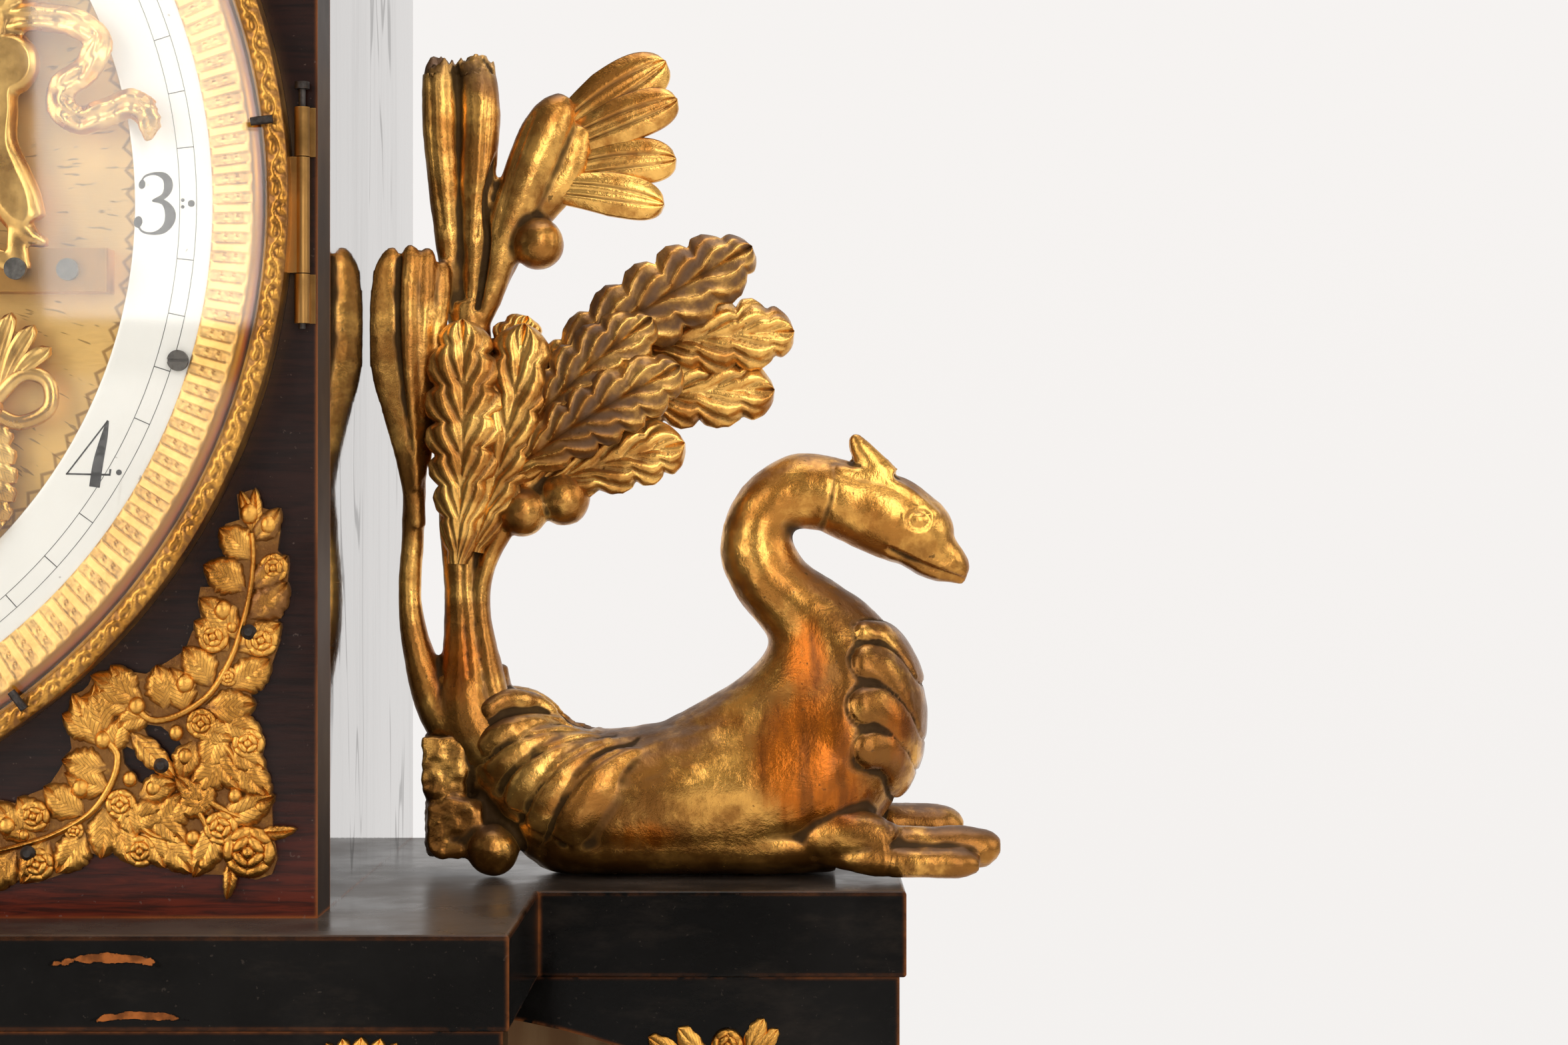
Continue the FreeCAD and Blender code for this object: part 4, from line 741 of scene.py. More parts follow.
def blot(bm, x, y, radius, turn):
    made = bmesh.ops.create_circle(bm, cap_ends=True, radius=radius, segments=14)["verts"]
    for vert in made:
        vert.co = turn(x + vert.co.x, y + vert.co.y)


def ellipse(x, y, wide, tall, thin, thick):
    turns = [math.radians(30 * step) for step in range(13)]
    return [(x + wide * math.cos(t), y + tall * math.sin(t), thin + (thick - thin) * math.cos(t) ** 2)
            for t in turns]


# Widths of the dial's lines and radii of its dots
TRACK_LINE, MINUTE_LINE = 0.085, 0.13
HOUR_DOT, QUARTER_DOT, SIDE_DOT = 0.42, 0.5, 0.26
# Size of a numeral of two digits, and of the 4, against the others
PAIR_SIZE, FOUR_SIZE = 0.78, 1.08
# Stamped patterns around the sight ring and along the bezel
SIGHT_REPEATS, BEZEL_REPEATS = 186, 96
# Share of a repeat of the sight ring that holds beads, their places (around, across), and plain margin
BEAD_SHARE, SIGHT_MARGIN = 0.46, 0.03
BEADS = [(0.13, 0.36), (0.13, 0.64), (0.33, 0.36), (0.33, 0.64)]
# Depth ahead of the dial's face where the bezel's ornament starts
BEZEL_FACE = 4.95
# Leaves of one repeat of the bezel: place along, place across, width
BEZEL_LEAVES = [(0.25, -0.42, 0.11), (0.75, 0.42, 0.11), (0.02, 0.62, 0.06), (0.52, -0.62, 0.06)]
# Strokes of (x, y, share of full width) and dots of (x, y, radius), in a numeral of height 1
DIGITS = {
    "0": ([ellipse(0.42, 0.5, 0.3, 0.48, 0.05, 0.21)], []),
    "1": ([[(0.42, 1, 0.2), (0.42, 0, 0.2)], [(0.42, 0.98, 0.03), (0.22, 0.84, 0.06)],
           [(0.2, 0.012, 0.03), (0.64, 0.012, 0.03)]],
          []),
    "2": ([[(0.13, 0.77, 0.05), (0.22, 0.94, 0.04), (0.44, 0.985, 0.05), (0.7, 0.87, 0.17),
            (0.68, 0.66, 0.16), (0.46, 0.38, 0.08), (0.2, 0.14, 0.04), (0.08, 0.03, 0.03)],
           [(0.08, 0.04, 0.06), (0.36, 0.07, 0.14), (0.66, 0.03, 0.12), (0.8, 0.2, 0.03)]],
          [(0.16, 0.77, 0.085)]),
    "3": ([[(0.1, 0.82, 0.05), (0.18, 0.94, 0.035), (0.4, 0.985, 0.05), (0.62, 0.93, 0.13),
            (0.71, 0.78, 0.2), (0.62, 0.62, 0.11), (0.38, 0.545, 0.03)],
           [(0.38, 0.545, 0.03), (0.64, 0.51, 0.1), (0.8, 0.3, 0.24), (0.7, 0.1, 0.15),
            (0.46, 0.015, 0.05), (0.2, 0.05, 0.035), (0.07, 0.2, 0.05)]],
          [(0.13, 0.81, 0.075), (0.1, 0.2, 0.095)]),
    "4": ([[(0.8, 1, 0.05), (0.74, 0.72, 0.15), (0.66, 0.36, 0.21), (0.62, 0, 0.22)],
           [(0.8, 1, 0.03), (0.04, 0.2, 0.028)], [(0.02, 0.2, 0.026), (0.93, 0.185, 0.03)],
           [(0.915, 0.17, 0.03), (0.92, 0.27, 0.045)]],
          []),
    "5": ([[(0.24, 0.98, 0.05), (0.5, 0.93, 0.11), (0.76, 1, 0.03)],
           [(0.25, 0.97, 0.03), (0.21, 0.53, 0.03)],
           [(0.21, 0.53, 0.03), (0.46, 0.62, 0.06), (0.76, 0.48, 0.2), (0.76, 0.2, 0.2),
            (0.5, 0.015, 0.06), (0.2, 0.04, 0.04), (0.09, 0.18, 0.05)]],
          [(0.12, 0.18, 0.085)]),
    "6": ([[(0.74, 0.86, 0.05), (0.58, 0.985, 0.04), (0.3, 0.84, 0.1), (0.14, 0.45, 0.21),
            (0.22, 0.13, 0.16), (0.46, 0.012, 0.05), (0.72, 0.16, 0.17), (0.74, 0.38, 0.17),
            (0.54, 0.57, 0.05), (0.3, 0.5, 0.03)]],
          [(0.71, 0.85, 0.075)]),
    "7": ([[(0.08, 0.8, 0.03), (0.14, 0.96, 0.1), (0.46, 0.91, 0.14), (0.8, 1, 0.04)],
           [(0.8, 1, 0.03), (0.56, 0.62, 0.09), (0.38, 0.26, 0.19), (0.36, 0, 0.2)]],
          []),
    "8": ([ellipse(0.42, 0.76, 0.22, 0.225, 0.05, 0.15), ellipse(0.42, 0.27, 0.3, 0.265, 0.05, 0.2)],
          []),
    "9": ([[(0.1, 0.14, 0.05), (0.26, 0.015, 0.04), (0.54, 0.16, 0.1), (0.7, 0.55, 0.21),
            (0.62, 0.87, 0.16), (0.38, 0.988, 0.05), (0.12, 0.84, 0.17), (0.1, 0.62, 0.17),
            (0.3, 0.43, 0.05), (0.54, 0.5, 0.03)]],
          [(0.13, 0.15, 0.075)]),
}


class CLOCK_OT_dial(bpy.types.Operator):
    """Fires the enamel ring, paints its numerals and stamps the sight ring"""
    bl_idname = "clock.dial"
    bl_label = "Dial"

    def execute(self, context):
        dial = sizes("clock_dial")
        inner = mm(dial.enamel_inner)
        seen = mm(dial.enamel_seen)
        bm = bmesh.new()
        spun(bm, [(inner, -2.1), (inner, -0.35), (inner + 0.12, -0.12), (inner + 0.5, -0.02),
                  (inner + 1.2, 0.0), (seen + 2.4, 0.0), (seen + 3.0, -0.1), (seen + 3.0, -2.1)], 360)
        finish_piece("enamel_ring", bm, fired_enamel(), "case", ["chapter_ring"])
        self.paint(dial)
        self.stamp(dial)
        dress(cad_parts["dial_plate"], engraved_plate())
        return {"FINISHED"}

    def paint(self, dial):
        bm = bmesh.new()
        skin = face_y - 0.03
        height = mm(dial.numeral_height)

        def plain(x, y):
            return Vector((x, skin, dial_z + y))

        for radius in (mm(dial.track_inner), mm(dial.track_outer)):
            turns = [(radius * math.cos(t), radius * math.sin(t), 1.0)
                     for t in np.linspace(0, 2 * math.pi, 241)]
            stroke(bm, turns, TRACK_LINE, plain, 1)
        for minute in range(60):
            angle = math.radians(90 - 6 * minute)
            way = Vector((math.cos(angle), math.sin(angle)))
            if minute % 5:
                ends = [(*(way * mm(r)), 1.0) for r in (dial.track_inner, dial.track_outer)]
                stroke(bm, ends, MINUTE_LINE, plain)
            elif minute % 15:
                blot(bm, *(way * (mm(dial.track_outer) - 0.8)), HOUR_DOT, plain)
            else:
                blot(bm, *(way * (mm(dial.track_outer) - 0.75)), QUARTER_DOT, plain)
                across = Vector((-way.y, way.x))
                for side in (-0.48, 0.48):
                    blot(bm, *(way * (mm(dial.track_inner) + 0.42) + across * side), SIDE_DOT, plain)
        for hour in range(1, 13):
            angle = math.radians(90 - 30 * hour)
            text = str(hour)
            reach = mm(dial.numeral_radius)
            if len(text) == 2:
                reach -= 0.6
            middle = Vector((math.cos(angle), math.sin(angle))) * reach
            size = height * (PAIR_SIZE if len(text) == 2 else 1.0) * (FOUR_SIZE if text == "4" else 1.0)
            wide = size * 0.62
            start = middle.x - wide * len(text) / 2
            for index, digit in enumerate(text):
                left = start + index * wide

                def placed(x, y, left=left, size=size, middle=middle):
                    return plain(left + (x * 0.74 + 0.07 * (y - 0.5)) * size, middle.y + (y - 0.5) * size)

                strokes, blots = DIGITS[digit]
                for points in strokes:
                    stroke(bm, points, 1.0, placed)
                for x, y, radius in blots:
                    blot(bm, x, y, radius, placed)
        bmesh.ops.recalc_face_normals(bm, faces=bm.faces)
        bmesh.ops.reverse_faces(bm, faces=[face for face in bm.faces if face.normal.y > 0])
        bmesh.ops.scale(bm, vec=(MM, MM, MM), verts=bm.verts)
        finish_mesh("dial_marks", to_mesh(bm, "dial_marks"), fired_ink(), "case")

    def stamp(self, dial):
        seen = mm(dial.enamel_seen)
        crest = mm(dial.sight_crest)
        outer = mm(dial.sight_outer)
        rows = 14
        profile = [(seen, 0.05), (seen + 0.05, 0.3)]
        for row in range(1, rows + 1):
            share = row / rows
            profile.append((seen + (crest - seen) * share, 0.3 + 2.2 * share))
        for turn in range(1, 9):
            angle = math.radians(11.25 * turn)
            profile.append((crest + (outer - crest) * math.sin(angle), 1.0 + 1.5 * math.cos(angle) ** 0.8))
        profile.append((outer, 0.05))
        bm = bmesh.new()
        spun(bm, profile, SIGHT_REPEATS * 12)
        slope = Vector((-0.38, -0.92))
        deep, bezel_shadow = np.zeros((2, len(bm.verts)))
        for place, vert in enumerate(bm.verts):
            radius, phase = ring_place(vert, SIGHT_REPEATS)
            share = (radius - seen) / (crest - seen)
            # Painted shadow of the bezel over the outer plain band, rising outward from the stamped band.
            bezel_shadow[place] = min(1.0, max(0.0, share - 1 + SIGHT_MARGIN) * 14)
            if not SIGHT_MARGIN < share < 1 - SIGHT_MARGIN or vert.co.y > face_y - 0.25:
                continue
            if phase < BEAD_SHARE:
                lift = -0.16
                for p, q in BEADS:
                    lift += 0.34 * math.exp(-((phase - p) / 0.055) ** 2 - ((share - q) / 0.07) ** 2)
            else:
                rib = math.sin((phase - BEAD_SHARE) / (1 - BEAD_SHARE) * 3 * math.pi)
                lift = 0.20 * abs(rib) ** 0.6 - 0.10
            lift *= min(1.0, (min(share, 1 - share) - SIGHT_MARGIN) / (2 * SIGHT_MARGIN))
            # Recesses of the stamped beads and ribs are marked hollow for painted shade.
            deep[place] = max(0.0, 0.03 - lift) * 0.34
            out = Vector((vert.co.x, 0, vert.co.z - dial_z)) / radius
            vert.co += out * slope.x * lift + Vector((0, slope.y * lift, 0))
        gilding = gilt_metal("sight_ring_gilding", sizes("clock_colours").ring, 0.75, 0.42)
        ring = finish_piece("sight_ring_stamped", bm, gilding, "case", ["sight_ring"],
                            SIGHT_SHARP)
        keep_value(ring.data, "hollow", deep)
        keep_value(ring.data, "bezel_shadow", bezel_shadow)


class CLOCK_OT_bezel(bpy.types.Operator):
    """Casts the hinged bezel with its leafy band and sets the domed glass"""
    bl_idname = "clock.bezel"
    bl_label = "Bezel"

    def execute(self, context):
        bezel = sizes("clock_bezel")
        inner, outer, lip = mm(bezel.inner), mm(bezel.outer), mm(bezel.lip)
        middle, half = (inner + outer) / 2, (outer - inner) / 2
        profile = [(lip, 3.2), (lip, 0.2), (outer, 0.2), (outer, 2.6), (outer, 4.9)]
        for turn in range(17):
            angle = math.pi * turn / 16
            profile.append((middle + half * math.cos(angle), 5.0 + 0.72 * math.sin(angle)))
        profile += [(inner, 4.6), (inner, 3.2)]
        bm = bmesh.new()
        spun(bm, profile, BEZEL_REPEATS * 18)
        deep = np.zeros(len(bm.verts))
        for place, vert in enumerate(bm.verts):
            depth = face_y - vert.co.y
            if depth < BEZEL_FACE:
                continue
            radius, along = ring_place(vert, BEZEL_REPEATS)
            across = (radius - middle) / half
            vine = across - 0.5 * math.sin(2 * math.pi * along)
            lift = 0.26 * math.exp(-(vine / 0.2) ** 2) - 0.14
            for p, q, wide in BEZEL_LEAVES:
                gap = min(abs(along - p), 1 - abs(along - p))
                lift += 0.34 * math.exp(-(gap / wide) ** 2 - ((across - q) / 0.3) ** 2)
            lift += 0.07 * math.sin(2 * math.pi * along * 4 + across * 5)
            vert.co.y -= lift * max(0.0, 1.0 - abs(across) ** 6)
            # Recesses of the leafy band are marked hollow for painted shade.
            deep[place] = max(0.0, 0.04 - lift) * 0.7
        gilding = gilt_metal("bezel_gilding", shade(sizes("clock_colours").mount, 0.9), 0.75, 0.34)
        ring = finish_piece("bezel_ring_cast", bm, gilding, "bezel", ["bezel_ring"],
                            MOUNT_SHARP)
        keep_value(ring.data, "hollow", deep)
        dress(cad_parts["bezel_glass"], dome_glass())
        return {"FINISHED"}


class CLOCK_OT_fittings(bpy.types.Operator):
    """Finishes hinges, screws, hands and the movement"""
    bl_idname = "clock.fittings"
    bl_label = "Fittings"

    def execute(self, context):
        brass = brushed_brass("cut_brass", (0.72, 0.44, 0.15), 0.3, 0.7)
        hinge = brushed_brass("hinge_brass", (0.34, 0.18, 0.055), 0.42, 1.0)
        # Shelf gilding is set darker and browner than the other brass, as painted shade, with its tarnish
        # at full strength.
        gilt = brushed_brass("shelf_gilding_and_shade", (0.60, 0.31, 0.08), 0.36, 1.0)
        steel = dark_steel("grey_steel", (0.20, 0.185, 0.17), 0.32)
        iron = dark_steel("black_iron", (0.07, 0.06, 0.055), 0.42)
        blued = dark_steel("blued_steel", (0.035, 0.05, 0.12), 0.22)
        finish = {
            hinge: ["bezel_hinge_brackets", "bezel_hinge_leaf", "rear_hinge_brackets", "rear_hinge_leaves",
                    "door_knob"],
            gilt: ["figure_shelf"],
            iron: ["glass_pins", "mount_pins", "bezel_hinge_pin"],
            steel: ["dial_screws", "going_arbor", "strike_arbor", "pallet_anchor", "hammer"],
            blued: ["hour_hand", "minute_hand"],
            brass: MOVEMENT,
        }
        for material, names in finish.items():
            for name in names:
                dress(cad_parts[name], material)
        return {"FINISHED"}


# Brass pieces of the movement
MOVEMENT = ["back_cock", "back_plate", "bell", "centre_wheel", "escape_wheel", "fly", "front_plate",
            "going_barrel", "hour_wheel", "minute_wheel", "pendulum", "pin_wheel", "plate_pillars",
            "strike_barrel", "third_wheel"]


# Carving: u runs out from the case side, v up from the slab, and depth back from the beast's middle.
def carve_at(u, v, depth):
    return Vector((case_x + u, beast_y + depth, slab_z + v))


# Runs of (u, v, half height, half width, depth)
BODY = [
    (12.6, 32.5, 4.6, 5, 0), (14.8, 27.5, 6.6, 6.4, 0), (19.8, 22, 8.8, 8.6, 0),
    (25.7, 16.4, 9.8, 10.6, 0), (32.4, 12.1, 12.2, 12.2, 0), (39.5, 11.5, 11.8, 13, 0),
    (49.8, 12.3, 12.6, 13.5, 0), (59.2, 13.8, 14.3, 14, 0), (67.4, 16.4, 16.1, 14, 0),
    (73, 20.2, 15, 13.2, 0), (77.6, 24.4, 11.6, 10.6, 0), (80.4, 27.2, 6, 5.4, 0),
]
NECK = [
    (73, 14.2, 11.6, 11.5, 0), (75.2, 22.4, 13.4, 13, 0), (76.6, 30, 12, 11.6, 0),
    (74.8, 36.2, 9.4, 9.4, 0), (71.6, 40.4, 7.5, 7.9, 0), (67.6, 43.8, 6.6, 6.9, 0),
    (64.2, 47.8, 6.1, 6.3, 0), (62.3, 52.6, 6, 6, 0), (63.2, 57.2, 5.5, 5.7, 0),
    (65.8, 60.2, 5.7, 5.6, 0), (69.6, 61.6, 6.2, 5.6, 0), (73.5, 61.3, 6.2, 5.8, 0),
    (77.7, 59.8, 6.4, 6, 0), (83.1, 57.8, 6.8, 6.1, 0), (88.2, 54.9, 6.2, 5.4, 0),
    (91.2, 51.5, 4.4, 4, 0), (94.3, 49.3, 2.9, 2.8, 0), (95.8, 47.8, 1.5, 1.6, 0),
    (96.2, 47.6, 0.5, 0.6, 0),
]
SADDLE = [(50, 17, 8, 9, 0), (61.5, 24.5, 7, 8.8, 0), (69, 33, 6, 8.2, 0), (70, 39, 4.4, 5.6, 0)]
SEAT = [
    (27, 6, 4, 5, 0), (32, 5, 5.2, 10.4, 0), (50, 5, 5.2, 12.2, 0), (66, 5, 5.2, 12.2, 0),
    (75, 5, 4.8, 9.6, 0),
]
CREST = [(18.6, 26, 3, 4, -1.5), (20.6, 30, 2.2, 3.2, -1.5), (21.5, 33.7, 0.6, 0.9, -1.5)]
LIMBS = [
    [(67, 7, 3.6, 3.4, -6.6), (73, 6.9, 4.2, 3.8, -8.6), (79, 6.8, 4.2, 3.8, -9.6),
     (83.6, 5.2, 3.6, 3.6, -10)],
    [(78, 5.6, 3.5, 3.2, -9), (88, 5, 3.3, 3.1, -8.6), (95, 4.9, 3.4, 3.1, -8),
     (99.3, 4.5, 3, 2.7, -7.6), (100.9, 4, 1.3, 1.4, -7.4)],
    [(68, 4.6, 1.4, 1.2, -7), (80, 3.2, 2.4, 2.1, -11.6), (88, 2.8, 2.4, 2.2, -12.2),
     (94.4, 2.7, 2.4, 2.1, -11.8), (97.6, 2.4, 1.2, 1.2, -11.4)],
    [(68, 7.2, 4.2, 4.2, 6), (86.4, 6.9, 3.6, 4, 8), (93, 6.6, 3.4, 3.8, 8), (95.9, 5.8, 1.8, 2, 8)],
]
# Feathers lying on the flanks: line from the rounded end, and half width
FEATHERS = [
    ([(18.8, 26.2), (22.3, 28.1), (27.2, 27.3), (31.4, 25.1)], 1.9),
    ([(18.7, 20.5), (22.3, 23.1), (27.9, 24.4), (34.1, 23.8)], 2.2),
    ([(20.1, 16.5), (24, 20), (30, 22.4), (36.9, 23.1)], 2.4),
    ([(23.8, 11.4), (26.5, 16.1), (32.1, 20.7), (39, 22.8)], 2.8),
    ([(27.3, 8.1), (30, 13.7), (35, 19.3), (41.8, 22.4)], 2.9),
    ([(31.9, 6.2), (35, 11.8), (39.9, 17.9), (45.6, 21.1)], 3.7),
]
# Scales raised on the chest, written the same way
SCALES = [
    ([(79.6, 39.3), (82.9, 38.6), (85.8, 35.8), (87.9, 31.7)], 1.6),
    ([(80.2, 34.6), (82.5, 33.8), (85.4, 30.9), (87.5, 27.1), (88.5, 23)], 2.7),
    ([(79.8, 27.6), (82.1, 27.5), (85, 25), (87.1, 21.3), (87.9, 18)], 2.9),
    ([(80.8, 20.6), (83.3, 20.1), (85.6, 17.6), (86.4, 14.7)], 3),
]
# Eye, line of the mouth, seam behind the jaw and crease of the wrist
EYE = (88.3, 57.0)
MOUTH = [(83.6, 52.2), (89.4, 49.5), (95.6, 47.3)]
JAW_SEAM = [(74.6, 66.2), (74.4, 60.8), (72.4, 54.6)]
WRIST = [(83.2, 9.5), (83.6, 5), (83, 0)]
# Depths of the carved lines and height of the chest's scales
MOUTH_DEPTH, SEAM_DEPTH, WRIST_DEPTH, PARTING_DEPTH, CREASE_DEPTH = 0.75, 0.35, 0.5, 0.42, 0.3
SCALE_HEIGHT = 1.15
# Corners of the rings that trunk, limbs and feathers are drawn with
TRUNK_SIDES, LIMB_SIDES, FEATHER_SIDES = 28, 16, 14
# Height over the slab above which the jaw's seam is cut
SEAM_FOOT = 53.0
# Runs of (u, v, half height, half width)
EAR = [(83, 63.4, 2.8, 2), (80.3, 66.8, 2.2, 1.6), (78.5, 69.4, 1.5, 1.2), (77.8, 70.8, 0.8, 0.7)]
BROW = [(75.4, 65, 1, 1.3), (81.7, 63.6, 1.1, 1.4), (86.6, 61.4, 1.1, 1.4), (91.2, 57.6, 0.9, 1.1)]
TAIL_BALL = (20.2, 4.4)
# Gold rubbed through to the clay: u, v, half width, half height, amount
RUBBED = [
    (70, 19, 10, 14, 0.66), (75, 14, 7, 9, 0.54), (70, 35, 5, 10, 0.54), (44, 7, 9, 4, 0.48),
    (58, 25, 12, 4, 0.36), (15, 30, 5, 7, 0.5), (84, 24, 4, 10, 0.4), (32, 16, 9, 7, 0.26),
    (82, 58, 11, 7, 0.32),
]
# Painted highlight: brighter gold on the flank where the lamps catch it, written the same way
LIT_GOLD = (29, 17, 11, 9, 0.9)
# Breast, where joins are eased: u, v, half width, half height
BREAST = (67.0, 27.5, 9.0, 15.0)
# Belly, eased too: height, half height, both ends along u, and how softly it ends
BELLY = (8.5, 5.0, 36, 65, 1.5)
# Share and rounds of that easing
EASE_SHARE, EASE_ROUNDS = 0.9, 130
# Distances from the middle plane of ears, brows, eyes and tail ball
EAR_OUT, BROW_OUT, EYE_OUT, BALL_OUT = 2.7, 3.4, 4.3, -6.6
RUMP = (20.0, 9.0, 0.0)
# Room kept to the slab, to the case and to the solid's end
SLAB_ROOM, CASE_ROOM, END_ROOM = 0.05, 5.0, 0.02
CHIP_DEPTH = 0.35
# Broken blocks by the tail: middle (u, v, depth) and size
BLOCKS = [
    ((12.4, 17.2, -2), (7, 10.4, 11)), ((13.8, 7.8, -2), (9.6, 9.4, 12)), ((13, 12, 3), (7, 18, 7)),
]


def stations_of(rows, steps):
    return [(*carve_at(u, v, depth), max(high, 0.2), max(wide, 0.2))
            for u, v, high, wide, depth in curve_through(rows, steps)]


def flank(u, v):
    """Half width of the trunk at a place on its side."""
    run = np.vstack([curve_through(BODY, 8), curve_through(NECK, 8)])
    gap = np.hypot(run[:, 0] - u, run[:, 1] - v) / run[:, 2]
    best = int(np.argmin(gap))
    return run[best][3] * math.sqrt(max(0.08, 1 - min(gap[best], 0.96) ** 2))


def side_view(spots):
    return spots[:, 0] - case_x, spots[:, 2] - slab_z


def near_line(spots, points):
    """Distance in the side view from every vertex to a drawn line."""
    run = curve_through(points, 8) if len(points) > 2 else np.array(points, float)
    u, v = side_view(spots)
    best = np.full(len(spots), 1e9)
    for a, b in zip(run, run[1:]):
        way = b - a
        t = np.clip(((u - a[0]) * way[0] + (v - a[1]) * way[1]) / max(way @ way, 1e-9), 0, 1)
        best = np.minimum(best, np.hypot(u - a[0] - t * way[0], v - a[1] - t * way[1]))
    return best


def nearest_two(spots, drawn):
    """Distances to the nearest drawn line and to the next, in half widths."""
    return np.sort([near_line(spots, points) / half for points, half in drawn], axis=0)[:2]


def broken_block(whole, middle, size):
    """Rough block with its corners split off."""
    with patch(whole) as bm:
        bmesh.ops.create_cube(bm, size=1.0)
        bmesh.ops.scale(bm, vec=(size[0], size[2], size[1]), verts=bm.verts)
        for cut in range(9):
            angle, lean = 2.4 * cut + size[0], 1.1 * math.sin(1.7 * cut + size[1])
            level = math.cos(lean)
            way = Vector((math.cos(angle) * level, math.sin(angle) * level, math.sin(lean)))
            reach = max(abs(vert.co.dot(way)) for vert in bm.verts)
            bmesh.ops.bisect_plane(bm, geom=bm.verts[:] + bm.edges[:] + bm.faces[:],
                                   plane_co=way * reach * 0.84, plane_no=way, clear_outer=True)
            bmesh.ops.holes_fill(bm, edges=bm.edges, sides=0)
        bmesh.ops.translate(bm, vec=carve_at(*middle), verts=bm.verts)


